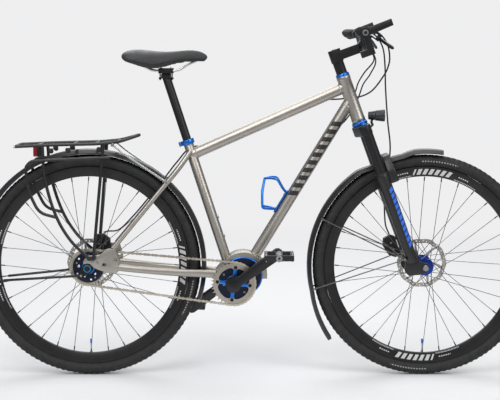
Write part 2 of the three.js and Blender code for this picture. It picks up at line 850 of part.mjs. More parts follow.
// A hub shell with its flanges, its rotor seat on the left and its spokes.
function hub(right, left, flangeRight, flangeLeft, rotorPlane, bore, rightRadius) {
  const half = hubFlangeThickness / 2;
  const seat = rotorPlane - rotorThickness / 2 - gap;
  const shell = turned([
    [bore, right], [rightRadius, right], [rightRadius, flangeRight - half - hubShoulder / 2],
    [hubFlangeRadius, flangeRight - half], [hubFlangeRadius, flangeRight + half],
    [hubShellRadius, flangeRight + half + hubShoulder], [hubShellRadius, flangeLeft - half - hubShoulder],
    [hubFlangeRadius, flangeLeft - half], [hubFlangeRadius, flangeLeft + half],
    [rotorSeatRadius, flangeLeft + half], [rotorSeatRadius, seat], [rotorPilotRadius, seat],
    [rotorPilotRadius, seat + rotorPilotLength],
    [hubEndRadius, seat + rotorPilotLength], [hubEndRadius, left], [bore, left],
  ], hubSegments);
  const otherTurn = toothAngle(spokeCount);
  return fuse(shell, ...spokes(flangeRight, 0), ...spokes(flangeLeft, otherTurn));
}

function rotor(plane) {
  const outer = [];
  for (let i = 0; i < rotorWaves * 2; i += 1) {
    outer.push(polar(rotorRadius - (i % 2) * rotorWave, (i / (rotorWaves * 2)) * Math.PI * 2));
  }
  const holes = [circlePoints(0, 0, rotorPilotRadius + gap, hubSegments)];
  const step = (Math.PI * 2) / rotorArms;
  const low = rotorSeatRadius + hubShoulder;
  const high = rotorRadius - rotorTrackWidth;
  for (let i = 0; i < rotorArms; i += 1) {
    const start = i * step;
    const lean = step * rotorArmLeanShare;
    const open = step * (1 - rotorArmWidthShare);
    holes.push([
      polar(low, start), polar(high, start + lean), polar(high, start + lean + open / 2),
      polar(high, start + lean + open), polar(low, start + open),
    ]);
  }
  return slab(outer, plane - rotorThickness / 2, plane + rotorThickness / 2, holes);
}

// Toothed wheels

// The outline of a toothed wheel, with a valley at the turn angle.
function toothOutline(teeth, turn) {
  const radius = pitchRadius(teeth);
  const step = toothAngle(teeth);
  const root = radius - toothRootDepth;
  const tip = radius + toothHeight;
  const valley = toothValleyWidth / 2 / root;
  const points = [];
  for (let i = 0; i < teeth; i += 1) {
    const middle = turn + (i + 1 / 2) * step;
    const flank = step / 2 - valley;
    points.push(polar(root, middle - flank), polar(tip, middle), polar(root, middle + flank));
  }
  return points;
}

// The windows between the arms of the chainring's spider.
function spiderWindows() {
  const windows = [];
  for (let i = 0; i < spiderArms; i += 1) {
    const middle = (i / spiderArms) * Math.PI * 2;
    const half = Math.PI / spiderArms;
    const low = half - spiderArmWidth / 2 / spiderHubRadius;
    const high = half - spiderArmWidth / 2 / chainringBandInner;
    windows.push([
      polar(spiderHubRadius, middle - low), polar(chainringBandInner, middle - high),
      polar(chainringBandInner, middle), polar(chainringBandInner, middle + high),
      polar(spiderHubRadius, middle + low), polar(spiderHubRadius, middle),
    ]);
  }
  return windows;
}

function holesOnCircle(count, circle, radius, sides) {
  const holes = [];
  for (let i = 0; i < count; i += 1) {
    const [x, z] = polar(circle, (i / count) * Math.PI * 2);
    holes.push(circlePoints(x, z, radius, sides));
  }
  return holes;
}

// A toothed wheel on a sleeve that reaches to the left as far as sleeveEnd.
function toothedWheel(teeth, turn, holes, sleeveRadius, sleeveFrom, sleeveTo, bore) {
  const half = toothThickness / 2;
  const disc = slab(toothOutline(teeth, turn), -chainLine - half, -chainLine + half, holes);
  const sleeve = crossRod(0, 0, sleeveFrom, sleeveTo, sleeveRadius, roundSides);
  const hole = crossRod(0, 0, sleeveFrom - overrun, sleeveTo + overrun, bore, roundSides);
  return cut(fuse(disc, sleeve), hole);
}

function chainring() {
  const turn = -Math.PI / 2 - Math.asin((chainringRadius - sprocketRadius) / driveDistance);
  const holes = [...spiderWindows(),
    ...holesOnCircle(spiderArms, chainringBoltCircle, chainringBoltHoleRadius, boltHoleSides)];
  const inside = -gearboxHalfWidth - gearboxBossHeight - 2 * gap;
  return toothedWheel(chainringTeeth, turn, holes, chainringSleeveRadius,
    -chainLine - toothThickness, inside, crankAxleRadius + axleClearance);
}

function sprocket() {
  const { pins } = chainPins(driveDistance);
  const rearmost = pins.reduce((best, pin) => (pin[0] < best[0] ? pin : best));
  const turn = Math.atan2(rearmost[1], rearmost[0]);
  const holes = holesOnCircle(sprocketHoles, sprocketHoleCircle, sprocketHoleRadius, sprocketHoleSides);
  return toothedWheel(sprocketTeeth, turn, holes, sprocketSleeveRadius,
    -dropoutInside + 2 * gap, rearHubRight - 2 * gap, rearAxleRadius + axleClearance);
}

// One closed chain: narrow inner links and wide outer links in turn, each with a window between its rollers
// that takes a tooth. Every link has eight corners at each end of its window.
function chain() {
  const { pins } = chainPins(driveDistance);
  const positions = [];
  const index = [];
  const corner = (link, end, name) => {
    const ring = (link % chainLinks) * 2 + end;
    return ring * linkCorners.length + linkCorners.indexOf(name);
  };
  const face = (...corners) => {
    for (let i = 2; i < corners.length; i += 1) index.push(corners[0], corners[i - 1], corners[i]);
  };
  pins.forEach(([ax, az], i) => {
    const [bx, bz] = pins[(i + 1) % chainLinks];
    const along = vec(bx - ax, 0, bz - az).normalize();
    const up = vec(-along.z, 0, along.x);
    const middle = vec((ax + bx) / 2, -chainLine, (az + bz) / 2);
    const [width, height] = i % 2 === 0 ? [innerLinkHalfWidth, innerLinkHalfHeight]
      : [outerLinkHalfWidth, outerLinkHalfHeight];
    for (const end of [-1, 1]) {
      for (const level of [-1, 1]) {
        for (const side of [-width, -linkWindowHalfWidth, linkWindowHalfWidth, width]) {
          const point = middle.clone().addScaledVector(along, end * linkWindowHalfLength)
            .addScaledVector(up, level * height);
          positions.push(point.x, point.y + side, point.z);
        }
      }
    }
    const near = (name) => corner(i, 0, name);
    const far = (name) => corner(i, 1, name);
    const next = (name) => corner(i + 1, 0, name);
    // Beside the window
    face(near("highRight"), near("highInRight"), far("highInRight"), far("highRight"));
    face(near("highInLeft"), near("highLeft"), far("highLeft"), far("highInLeft"));
    face(near("lowRight"), far("lowRight"), far("lowInRight"), near("lowInRight"));
    face(near("lowInLeft"), far("lowInLeft"), far("lowLeft"), near("lowLeft"));
    face(near("lowRight"), near("highRight"), far("highRight"), far("lowRight"));
    face(near("lowLeft"), far("lowLeft"), far("highLeft"), near("highLeft"));
    // Inside the window
    face(near("lowInRight"), far("lowInRight"), far("highInRight"), near("highInRight"));
    face(near("lowInLeft"), near("highInLeft"), far("highInLeft"), far("lowInLeft"));
    face(near("lowInRight"), near("highInRight"), near("highInLeft"), near("lowInLeft"));
    face(far("lowInRight"), far("lowInLeft"), far("highInLeft"), far("highInRight"));
    // Over the roller to the next link
    face(far("highInRight"), far("highInLeft"), far("highLeft"), next("highLeft"), next("highInLeft"),
      next("highInRight"), next("highRight"), far("highRight"));
    face(far("lowInLeft"), far("lowInRight"), far("lowRight"), next("lowRight"), next("lowInRight"),
      next("lowInLeft"), next("lowLeft"), far("lowLeft"));
    face(far("lowRight"), far("highRight"), next("highRight"), next("lowRight"));
    face(far("lowLeft"), next("lowLeft"), next("highLeft"), far("highLeft"));
  });
  const geometry = new THREE.BufferGeometry();
  geometry.setAttribute("position", new THREE.Float32BufferAttribute(positions, 3));
  geometry.setIndex(index);
  return fuse(geometry);
}

// Gearbox and cranks

// The outline of a belt round two circles.
function beltOutline([ax, az], ra, [bx, bz], rb, steps) {
  const along = Math.atan2(bz - az, bx - ax);
  const lean = Math.asin((rb - ra) / Math.hypot(bx - ax, bz - az));
  const points = [];
  for (let i = 0; i <= steps; i += 1) {
    const [x, z] = polar(rb, along - Math.PI / 2 - lean + (i / steps) * (Math.PI + 2 * lean));
    points.push([bx + x, bz + z]);
  }
  for (let i = 0; i <= steps; i += 1) {
    const [x, z] = polar(ra, along + Math.PI / 2 + lean + (i / steps) * (Math.PI - 2 * lean));
    points.push([ax + x, az + z]);
  }
  return points;
}

function gearboxOutline(growth) {
  return beltOutline([crankAxis.x, crankAxis.z], gearboxLowerRadius + growth,
    [gearboxUpper.x, gearboxUpper.z], gearboxUpperRadius + growth, gearboxArcSteps);
}

function gearbox() {
  const side = gearboxHalfWidth + gearboxBossHeight;
  const shell = slab(gearboxOutline(0), -gearboxHalfWidth, gearboxHalfWidth, [], gearboxEdge);
  const boss = crossRod(crankAxis.x, crankAxis.z, -side, side, gearboxBossRadius, roundSides);
  const bore = crossRod(crankAxis.x, crankAxis.z, -side - overrun, side + overrun,
    crankAxleRadius + axleClearance, roundSides);
  return cut(fuse(shell, boss), bore);
}

// A crank arm along X from its axle, on the right side.
function crankArm() {
  const arm = slab(beltOutline([0, 0], crankWaist, [crankLength, 0], crankEyeRadius, crankArcSteps),
    -crankInside - crankThickness, -crankInside, [], crankEdge);
  const boss = crossRod(0, 0, -crankInside - crankThickness, -crankInside, crankHubRadius, roundSides);
  const spindle = crossRod(crankLength, 0, -pedalInside - pedalWidth + pedalRail / 2, -crankInside - overrun,
    spindleRadius, hubSegments);
  return fuse(arm, boss, spindle);
}

const crankAxleEnd = crankInside + crankThickness - overrun;

function crankRight() {
  const bore = crossRod(0, 0, -crankAxleEnd - gap, -crankInside + overrun, crankAxleRadius + gap,
    hubSegments);
  return cut(crankArm(), bore);
}

function crankLeft() {
  const axle = crossRod(0, 0, -crankAxleEnd, crankInside + overrun, crankAxleRadius, hubSegments);
  return fuse(mirrored(crankArm()), axle);
}

// A level platform pedal centred on its spindle, on the right side.
function pedal() {
  const outside = -pedalInside - pedalWidth;
  const half = pedalThickness / 2;
  const inset = (pedalLength / 2 + pedalBarrelRadius - pedalRail) / 2;
  const windowHalf = (pedalLength / 2 - pedalBarrelRadius - pedalRail) / 2;
  const frame = block(vec(-pedalLength / 2, outside, -half), vec(pedalLength / 2, -pedalInside, half));
  const windows = [-1, 1].map((end) => block(
    vec(end * inset - windowHalf, outside + pedalRail, -half - overrun),
    vec(end * inset + windowHalf, -pedalInside - pedalRail, half + overrun)));
  const barrel = crossRod(0, 0, outside, -pedalInside, pedalBarrelRadius, hubSegments);
  const bore = crossRod(0, 0, outside + pedalRail / 2 - overrun, -pedalInside + overrun,
    spindleRadius + axleClearance, hubSegments);
  return cut(fuse(cut(frame, ...windows), barrel), bore);
}

// Frame

const seatTubeEnd = () => seatPoint(0, 0, seatTubeTop);

// The centre line of one seatstay, from the seat tube to the dropout.
function seatstayPath(side) {
  const top = seatPoint(0, side * seatstayTopSpread, seatstayTopHeight);
  const shoulder = overAxle(seatstayShoulderX, side * seatstayShoulderSpread, seatstayShoulderRise);
  const foot = overAxle(seatstayFootX, side * seatstayFootSpread, seatstayFootRise);
  const along = foot.clone().sub(shoulder);
  return [top, shoulder, shoulder.clone().addScaledVector(along, 1 / 3), foot];
}

function chainstay(side) {
  const start = vec(chainstayStartForward, side * chainstaySpreads[0], tyreRadius + chainstayStartRise);
  const end = vec(crankAxis.x - chainstayEndBack, 0, crankAxis.z + chainstayEndRise);
  const rings = chainstayShares.map((share, i) => {
    const centre = start.clone().lerp(end, share).setY(side * chainstaySpreads[i]);
    centre.z -= chainstaySag * Math.sin(share * Math.PI);
    return oval(centre, vec(0, 1, 0), vec(0, 0, 1), chainstayHalfWidths[i], chainstayHalfHeights[i],
      staySides);
  });
  return loft(rings);
}

function dropout(side) {
  const outline = dropoutOutlineShares.map(([x, z]) => [x * dropoutLength, tyreRadius + z * dropoutHeight]);
  const eyelet = beltOutline([0, tyreRadius], dropoutEyeletRootRadius,
    [-stayEyeletBack, tyreRadius - stayEyeletDrop], stayEyeletRadius, eyeletArcSteps);
  const [near, far] = [dropoutInside, dropoutInside + dropoutThickness];
  const [low, high] = side > 0 ? [near, far] : [-far, -near];
  return [slab(outline, low, high), slab(eyelet, low, high)];
}

function frame() {
  const tubes = [
    rod(crankAxis, seatTubeEnd(), seatTubeRadius, tubeSides),
    rod(steerPoint(0, 0, headTubeBottom), steerPoint(0, 0, headTubeTop), headTubeRadius, tubeSides),
    rod(seatPoint(0, 0, topTubeSeatHeight), steerPoint(0, 0, topTubeHeadHeight), topTubeRadius, tubeSides),
    rod(gearboxUpper, downTubeTop, downTubeRadius, tubeSides),
  ];
  for (const side of [-1, 1]) {
    tubes.push(pipe(seatstayPath(side), seatstayRadius, staySides, seatstaySteps), chainstay(side));
    tubes.push(...dropout(side));
  }
  const [, shoulder, third] = seatstayPath(1);
  const bridge = shoulder.clone().lerp(third, stayBridgeShare);
  tubes.push(crossRod(bridge.x, bridge.z, -bridge.y, bridge.y, stayBridgeRadius, staySides));
  const casting = slab(gearboxOutline(bridgeThickness), -bridgeHalfWidth, bridgeHalfWidth);
  const below = block(
    vec(crankAxis.x - 2 * gearboxUpperRadius, -gearboxUpperRadius, crankAxis.z - 2 * gearboxUpperRadius),
    vec(crankAxis.x + 2 * gearboxUpperRadius, gearboxUpperRadius, crankAxis.z + bridgeBottomRise));
  tubes.push(cut(casting, below));
  const wide = dropoutInside + dropoutThickness + overrun;
  return cut(fuse(...tubes),
    slab(gearboxOutline(gap), -gearboxUpperRadius, gearboxUpperRadius),
    rod(seatPoint(0, 0, seatTubeTop - seatTubeBoreDepth), seatPoint(0, 0, seatTubeTop + overrun),
    seatTubeBore,
      tubeSides),
    rod(steerPoint(0, 0, headTubeBottom - overrun), steerPoint(0, 0, headTubeTop + overrun), headTubeBore,
      tubeSides),
    crossRod(0, tyreRadius, -wide, wide, rearAxleRadius + gap, hubSegments));
}

function seatCollar() {
  const ring = turnedUp([
    [seatTubeRadius + 2 * gap, 0], [seatCollarRadius, 0], [seatCollarRadius, seatCollarHeight],
    [seatTubeRadius + 2 * gap, seatCollarHeight],
  ], roundSides);
  const ears = block(vec(-seatCollarRadius - seatCollarEar, -seatCollarEar / 2, 0),
    vec(-seatCollarRadius + overrun, seatCollarEar / 2, seatCollarHeight));
  return fuse(ring, ears).translate(0, 0, seatTubeTop - seatCollarHeight);
}

function rearAxleBody() {
  const head = dropoutInside + dropoutThickness + gap;
  const end = head + rearAxleHeadThickness;
  return fuse(crossRod(0, 0, -end, end, rearAxleRadius, hubSegments),
    crossRod(0, 0, -end, -head, rearAxleHeadRadius, hubSegments),
    crossRod(0, 0, head, end, rearAxleHeadRadius, hubSegments));
}

// A brake caliper straddling a rotor about the axle at the origin.
function caliper(outline, plane, inner, outer, lugs) {
  const slotRadius = rotorRadius + overrun;
  const slotHalf = rotorThickness / 2 + 2 * gap;
  return cut(fuse(slab(outline, plane - inner, plane + outer, [], caliperEdge), ...lugs),
    crossRod(0, 0, plane - slotHalf, plane + slotHalf, slotRadius, wheelSegments));
}

function rearCaliper() {
  const outer = caliperOuter;
  const lugs = rearCaliperLugs.map(([x, z]) => crossRod(x, z, rearRotorPlane + outer - overrun,
    dropoutInside - gap,
    caliperLugRadius, staySides));
  return caliper(rearCaliperOutline, rearRotorPlane, caliperInner, outer, lugs);
}

// Rack

function strutFoot(side, x) {
  const beside = dropoutInside + dropoutThickness + strutFootClearance + rackTube;
  return overAxle(x, side * beside, strutFootOverAxle);
}

// A tube along straight runs, mitred where they meet.
function tubeRun(points, radius, sides) {
  const runs = points.slice(1).map((point, i) => point.clone().sub(points[i]).normalize());
  const across = vec(0, 1, 0).cross(runs[0]).normalize();
  let ring = oval(points[0], across, runs[0].clone().cross(across), radius, radius, sides);
  const rings = [ring];
  for (let i = 0; i < runs.length; i += 1) {
    const plane = i + 1 < runs.length ? runs[i].clone().add(runs[i + 1]).normalize() : runs[i];
    ring = ring.map((point) => {
      const travel = points[i + 1].clone().sub(point).dot(plane) / runs[i].dot(plane);
      return point.clone().addScaledVector(runs[i], travel);
    });
    rings.push(ring);
  }
  return loft(rings);
}

function rack() {
  const parts = [];
  for (const side of [-1, 1]) {
    const deckY = side * deckHalfWidth;
    const sideY = side * railHalfWidth;
    const deck = deckStations.map(([x, rise]) => overFender(x, deckY, rise));
    deck.push(overFender(tongueFront, side * tongueHalfWidth, tongueRise));
    parts.push(tubeRun(deck, rackTube, rackSides));
    parts.push(tubeRun([overFender(railFront, sideY, railFrontRise),
      ...sideRailStations.map(([x, rise, out]) => overFender(x, side * (railHalfWidth + out), rise))], rackTube,
      rackSides));
    const frontFoot = strutFoot(side, strutFrontFootX);
    const rearFoot = strutFoot(side, strutRearFootX);
    parts.push(rod(overFender(strutFrontTopX, deckY, strutFrontTopRise), frontFoot, rackTube, rackSides));
    const rearTop = overFender(strutRearTopX, deckY, strutRearTopRise);
    const bends = strutRearBends.map(([x, rise]) => {
      const bend = overFender(x, 0, rise);
      return bend.setY(THREE.MathUtils.mapLinear(bend.z, rearTop.z, rearFoot.z, deckY, rearFoot.y));
    });
    parts.push(tubeRun([rearTop, ...bends, rearFoot], rackTube, rackSides));
    const near = dropoutInside + dropoutThickness + gap;
    const [low, high] = side > 0 ? [near, near + 2 * rackTube] : [-near - 2 * rackTube, -near];
    parts.push(slab(beltOutline([rearFoot.x, rearFoot.z], rackTube + overrun,
      [frontFoot.x, frontFoot.z], rackTube + overrun, eyeletArcSteps), low, high));
  }
  for (const [x, rise] of deckCrossStations) {
    parts.push(crossRod(x, overFender(x, 0, rise).z, -deckHalfWidth, deckHalfWidth, rackTube, rackSides));
  }
  parts.push(crossRod(tongueFront, overFender(0, 0, tongueRise).z, -tongueHalfWidth, tongueHalfWidth, rackTube,
    rackSides));
  return fuse(...parts);
}

// A bent rod from the seatstay to the front of the deck, with an eye at each end.
function rackStay(side) {
  const eye = (at) => crossRod(at.x, at.z, at.y - rackStayEyeThickness / 2, at.y + rackStayEyeThickness / 2,
    rackStayEyeRadius, rackSides);
  const low = overAxle(rackStayLowX, side * rackStayLowSpread, rackStayLowOverAxle);
  const bend = overFender(rackStayBendX, side * rackStayBendSpread, rackStayBendRise);
  const beside = deckHalfWidth + rackTube + gap + rackStayEyeThickness / 2;
  const high = overFender(rackStayHighX, side * beside, rackStayHighRise);
  return fuse(tubeRun([low, bend, high], rackStayRadius, rackSides), eye(low), eye(high));
}

// Fenders

// A fender round an axle at the origin. The stations hold angle, radius and half width.
function fenderAlong(stations) {
  const rings = stations.map(([angle, radius, halfWidth]) => {
    const ring = [];
    const [cos, sin] = [Math.cos(rad(angle)), Math.sin(rad(angle))];
    const put = (across, height) => ring.push(vec(height * cos, across * halfWidth, height * sin));
    for (const [across, drop] of fenderSectionShares) put(across, radius - drop * fenderEdgeDrop);
    for (const [across, drop] of [...fenderSectionShares].reverse()) {
      put(across, radius - drop * fenderEdgeDrop - fenderThickness);
    }
    return ring;
  });
  return loft(rings);
}

function fenderStations(from, to, dipAt = Infinity) {
  const count = Math.round((to - from) / fenderStepAngle);
  const stations = [];
  for (let i = 0; i <= count; i += 1) {
    const angle = from + ((to - from) * i) / count;
    const away = Math.abs(angle - dipAt) / archDipHalfAngle;
    const dip = away < 1 ? archDip * Math.min(1, dipSlopeShare * (1 - away)) : 0;
    stations.push([angle, fenderOuterRadius - dip, fenderHalfWidth]);
  }
  return stations;
}

function frontFender() {
  const stations = fenderStations(frontFenderStartAngle, frontFenderEndAngle, halfTurn - headAngle);
  for (let i = 1; i <= flapSteps; i += 1) {
    const share = i / flapSteps;
    stations.push([frontFenderEndAngle + (frontFlapEndAngle - frontFenderEndAngle) * share,
      fenderOuterRadius + flapFlare * share,
      fenderHalfWidth + (frontFlapHalfWidth - fenderHalfWidth) * share]);
  }
  return fenderAlong(stations);
}

const rearFender = () => fenderAlong(fenderStations(rearFenderStartAngle, rearFenderEndAngle));

// The place beside a fender's edge at an angle about an axle.
function fenderEdge(axle, angle, side) {
  const [x, z] = polar(fenderOuterRadius - fenderEdgeDrop + fenderStayRadius, rad(angle));
  return vec(axle.x + x, side * (fenderHalfWidth + fenderStayRadius + gap), axle.z + z);
}

function fenderStay(axle, bolt, angles, side) {
  const parts = [crossRod(bolt.x, bolt.z, bolt.y - fenderStayEyeThickness / 2,
    bolt.y + fenderStayEyeThickness / 2,
    fenderStayEyeRadius, staySides)];
  for (const angle of angles) {
    parts.push(rod(bolt, fenderEdge(axle, angle, side), fenderStayRadius, fenderStaySides));
  }
  return fuse(...parts);
}

function rearFenderStay(side) {
  const beside = dropoutInside + dropoutThickness + gap + fenderStayEyeThickness / 2;
  const bolt = vec(-stayEyeletBack, side * beside, tyreRadius - stayEyeletDrop);
  return fenderStay(rearAxle, bolt, [rearStayAngle], side);
}

function frontFenderStay(side) {
  const beside = legSpread + forkEyeletOut + gap + fenderStayEyeThickness / 2;
  const bolt = steerPoint(forkEyeletForward, side * beside, forkEyeletHeight);
  return fenderStay(frontAxle, bolt, frontStayAngles, side);
}

// Saddle

function saddle() {
  const rings = saddleStationShares.map((share, k) => {
    const x = railMiddle.x + saddleRear + share * saddleLength;
    const half = (saddleWidthShares[k] * saddleWidth) / 2;
    const top = railMiddle.z + saddleTopRise - saddleTopShares[k] * saddleDepth;
    const skirt = railMiddle.z + saddleTopRise - saddleSkirtShares[k] * saddleDepth;
    const flank = saddleCrownShares.map(([across, drop]) => [across * half, top + (skirt - top) * drop]);
    const inner = [half * saddleHollowWidthShare, skirt + (top - skirt) * saddleLipShare];
    const hollow = top + (skirt - top) * saddleShellShare;
    const right = flank.slice(1).reverse();
    const ring = [...right.map(([y, z]) => vec(x, -y, z)), ...flank.map(([y, z]) => vec(x, y, z))];
    ring.push(vec(x, inner[0], inner[1]), vec(x, 0, hollow), vec(x, -inner[0], inner[1]));
    return ring;
  });
  return loft(rings);
}

function saddleRails() {
  const stations = railStations.map(([x, y, z]) => [railMiddle.x + x, y, railMiddle.z + z]);
  const parts = [];
  for (const side of [-1, 1]) {
    parts.push(tubeRun(stations.map(([x, y, z]) => vec(x, side * y, z)), railRadius, railSides));
  }
  const [noseX, noseY, noseZ] = stations[stations.length - 1];
  parts.push(crossRod(noseX, noseZ, -noseY - railRadius, noseY + railRadius, railRadius, railSides));
  return fuse(...parts);
}

function saddleClamp() {
  const body = block(vec(postTop.x - clampLength / 2, -clampHalfWidth, railMiddle.z - clampHeight / 2),
    vec(postTop.x + clampLength / 2, clampHalfWidth, railMiddle.z + clampHeight / 2));
  const bores = [-1, 1].map((side) => rod(
    vec(postTop.x - clampLength, side * railSpread, railMiddle.z),
    vec(postTop.x + clampLength, side * railSpread, railMiddle.z), railRadius + gap, hubSegments));
  return cut(body, ...bores);
}

function seatpost() {
  const headTop = railMiddle.z - clampHeight / 2 - gap;
  const halfLength = (clampLength / 2) * postHeadShare;
  const halfWidth = clampHalfWidth * postHeadShare;
  const head = block(vec(postTop.x - halfLength, -halfWidth, headTop - clampHeight),
    vec(postTop.x + halfLength, halfWidth, headTop));
  const post = rod(seatPoint(0, 0, seatpostBottom), seatPoint(0, 0, seatpostTop - clampHeight / 2),
    seatpostRadius, tubeSides);
  return fuse(post, head);
}

// Headset, stem and handlebar, in the steering group

function headsetUpper() {
  return turnedUp([
    [headsetBore, headTubeTop - headsetSkirtLength], [headsetSkirtRadius, headTubeTop - headsetSkirtLength],
    [headsetSkirtRadius, headTubeTop + gap], [headsetUpperRadius, headTubeTop + gap],
    [headsetUpperRadius, headTubeTop + headsetUpperHeight], [headsetBore, headTubeTop + headsetUpperHeight],
  ], roundSides);
}

function headsetLower() {
  return turnedUp([
    [headsetBore, headTubeBottom - headsetLowerHeight], [headsetLowerRadius,
    headTubeBottom - headsetLowerHeight],
    [headsetLowerRadius, headTubeBottom - gap], [headsetSkirtRadius, headTubeBottom - gap],
    [headsetSkirtRadius, headTubeBottom + headsetSkirtLength], [headsetBore,
    headTubeBottom + headsetSkirtLength],
  ], roundSides);
}

function spacers() {
  const low = headTubeTop + headsetUpperHeight + gap;
  return turnedUp([[headsetBore, low], [spacerRadius, low], [spacerRadius, spacerTop], [headsetBore,
    spacerTop]],
    roundSides);
}

const stemBottom = spacerTop + gap;
const stemTop = stemBottom + stemHeight;
const barClampBore = barClampRadius + sleeveClearance;
const barClampOuter = barClampBore + barClampWall;

function stem() {
  const clampHalf = barClampWidth / 2;
  const body = fuse(
    rod(vec(0, 0, stemBottom), vec(0, 0, stemTop), stemClampRadius, roundSides),
    block(vec(0, -stemBeamWidth / 2, stemBarRise - stemBeamHeight / 2),
      vec(stemReach - barClampRadius, stemBeamWidth / 2, stemBarRise + stemBeamHeight / 2)),
    crossRod(stemReach, stemBarRise, -clampHalf, clampHalf, barClampOuter, roundSides));
  return cut(body,
    rod(vec(0, 0, stemBottom - overrun), vec(0, 0, stemTop - stemCapHeight), headsetBore, roundSides),
    crossRod(stemReach, stemBarRise, -clampHalf - overrun, clampHalf + overrun, barClampBore, roundSides),
    block(vec(stemReach - faceplateSplit / 2, -barClampWidth, stemBarRise - 2 * barClampOuter),
      vec(stemReach + 2 * barClampOuter, barClampWidth, stemBarRise + 2 * barClampOuter)));
}

function stemFaceplate() {
  const clampHalf = barClampWidth / 2;
  return cut(crossRod(stemReach, stemBarRise, -clampHalf, clampHalf, barClampOuter, roundSides),
    crossRod(stemReach, stemBarRise, -clampHalf - overrun, clampHalf + overrun, barClampBore, roundSides),
    block(vec(stemReach - 2 * barClampOuter, -barClampWidth, stemBarRise - 2 * barClampOuter),
      vec(stemReach + faceplateSplit / 2, barClampWidth, stemBarRise + 2 * barClampOuter)));
}

// The centre of the handlebar's straight end at a distance to the left.
function barPoint(y) {
  const share = (Math.abs(y) - barRiseEnd) / (barHalfWidth - barRiseEnd);
  return vec(stemReach + barForward - barSweep * share, y, stemBarRise + barRise + barTipRise * share);
}

// A ring of points square to the straight end of the handlebar, from [forward, up] places.
function barRing(y, places) {
  const out = vec(-barSweep, Math.sign(y) * (barHalfWidth - barRiseEnd), barTipRise);
  const forward = vec(1, 0, 0).projectOnPlane(out).normalize();
  const up = vec(0, 0, 1).projectOnPlane(out).normalize();
  return places.map(([x, z]) => barPoint(y).addScaledVector(forward, x).addScaledVector(up, z));
}

function barTube(from, to, radius, sides) {
  return loft([from, to].map((y) => barRing(y, circlePoints(0, 0, radius, sides))));
}

function handlebar() {
  const start = vec(stemReach, barRiseStart, stemBarRise);
  const middleRadius = (barClampRadius + barGripRadius) / 2;
  const end = circlePoints(0, 0, barGripRadius, barSides);
  const upright = (point, radius) => oval(point, vec(1, 0, 0), vec(0, 0, 1), radius, radius, barSides);
  const half = [
    barRing(barHalfWidth, end), barRing(barRiseEnd, end),
    upright(start.clone().lerp(barPoint(barRiseEnd), 1 / 2), middleRadius), upright(start, barClampRadius),
  ];
  const other = half.map((ring) => ring.map((point) => vec(point.x, -point.y, point.z))).reverse();
  return loft([...half, ...other]);
}

const barBore = barGripRadius + sleeveClearance;

function grip(side, inside) {
  const stations = [inside, inside + (gripOutside - inside) / 2, gripOutside - gripWingThickness,
    gripOutside];
  const wing = Math.atan2(gripWingRise, -gripWingReach);
  const reach = Math.hypot(gripWingReach, gripWingRise) - gripRadius;
  const rings = stations.map((y, k) => {
    const places = [];
    for (let i = 0; i < gripSides; i += 1) {
      const angle = (i / gripSides) * Math.PI * 2;
      const bulge = Math.max(0, Math.cos(angle - wing)) ** gripWingPower * gripWingShares[k];
      places.push(polar(gripRadius + reach * bulge, angle));
    }
    return barRing(side * y, places);
  });
  return cut(loft(rings), barTube(side * (inside - overrun), side * (gripOutside + overrun), barBore,
    barSides));
}

function barEnd(side) {
  const inner = gripOutside + gap;
  const outer = inner + barEndWidth;
  const centre = barPoint(side * (inner + barEndWidth / 2));
  const tip = centre.clone().add(vec(barEndLength, 0, barEndRise));
  const horn = loft([[centre, 1], [tip, barEndTaperShare]].map(([at, share]) => oval(at, vec(0, 1, 0),
    vec(0, 0, 1),
    barEndHalfWidth * share, barEndRadius * share, barSides)));
  const ring = barTube(side * inner, side * outer, barEndClampRadius, barSides);
  const reach = barHalfWidth + gap;
  return cut(fuse(ring, horn), barTube(side * (inner - 2 * overrun), side * reach, barBore, barSides));
}

function shifterHousing() {
  const outside = shifterInside + shifterHousingWidth;
  const middle = barPoint(-(shifterInside + outside) / 2);
  const ring = barTube(-shifterInside, -outside, shifterHousingRadius, roundSides);
  const box = block(vec(middle.x - shifterBoxBack, -outside, middle.z - shifterBoxDrop),
    vec(middle.x - shifterBoxBack + shifterBoxDepth, -shifterInside, middle.z));
  const spout = block(vec(middle.x - shifterBoxLength, -outside, middle.z - shifterBoxDrop),
    vec(middle.x, -shifterInside, middle.z - shifterBoxDrop + shifterSpoutHeight));
  return cut(fuse(ring, box, spout), barTube(-shifterInside + overrun, -outside - overrun, barBore,
    barSides));
}

function shifterSleeve() {
  const inside = shifterInside + shifterHousingWidth + shifterEndGap;
  const outside = gripRightInside - shifterEndGap;
  const profile = [];
  const edges = shifterRibs * 2;
  for (let i = 0; i < edges; i += 1) {
    profile.push(polar(shifterSleeveRadius - (i % 2) * shifterRibDepth, (i / edges) * Math.PI * 2));
  }
  return cut(loft([barRing(-inside, profile), barRing(-outside, profile)]),
    barTube(-inside + overrun, -outside - overrun, barBore, barSides));
}

// Brake lever, hinged where the pivot is, with its pin along pivotAxis.
const pivotAxis = vec(Math.cos(rad(leverAxisAngle)), 0, Math.sin(rad(leverAxisAngle)));

function leverPivot(side) {
  const bar = barPoint(side * leverPivotOut);
  return bar.add(vec(leverPivotReach, 0, -leverPivotDrop));
}

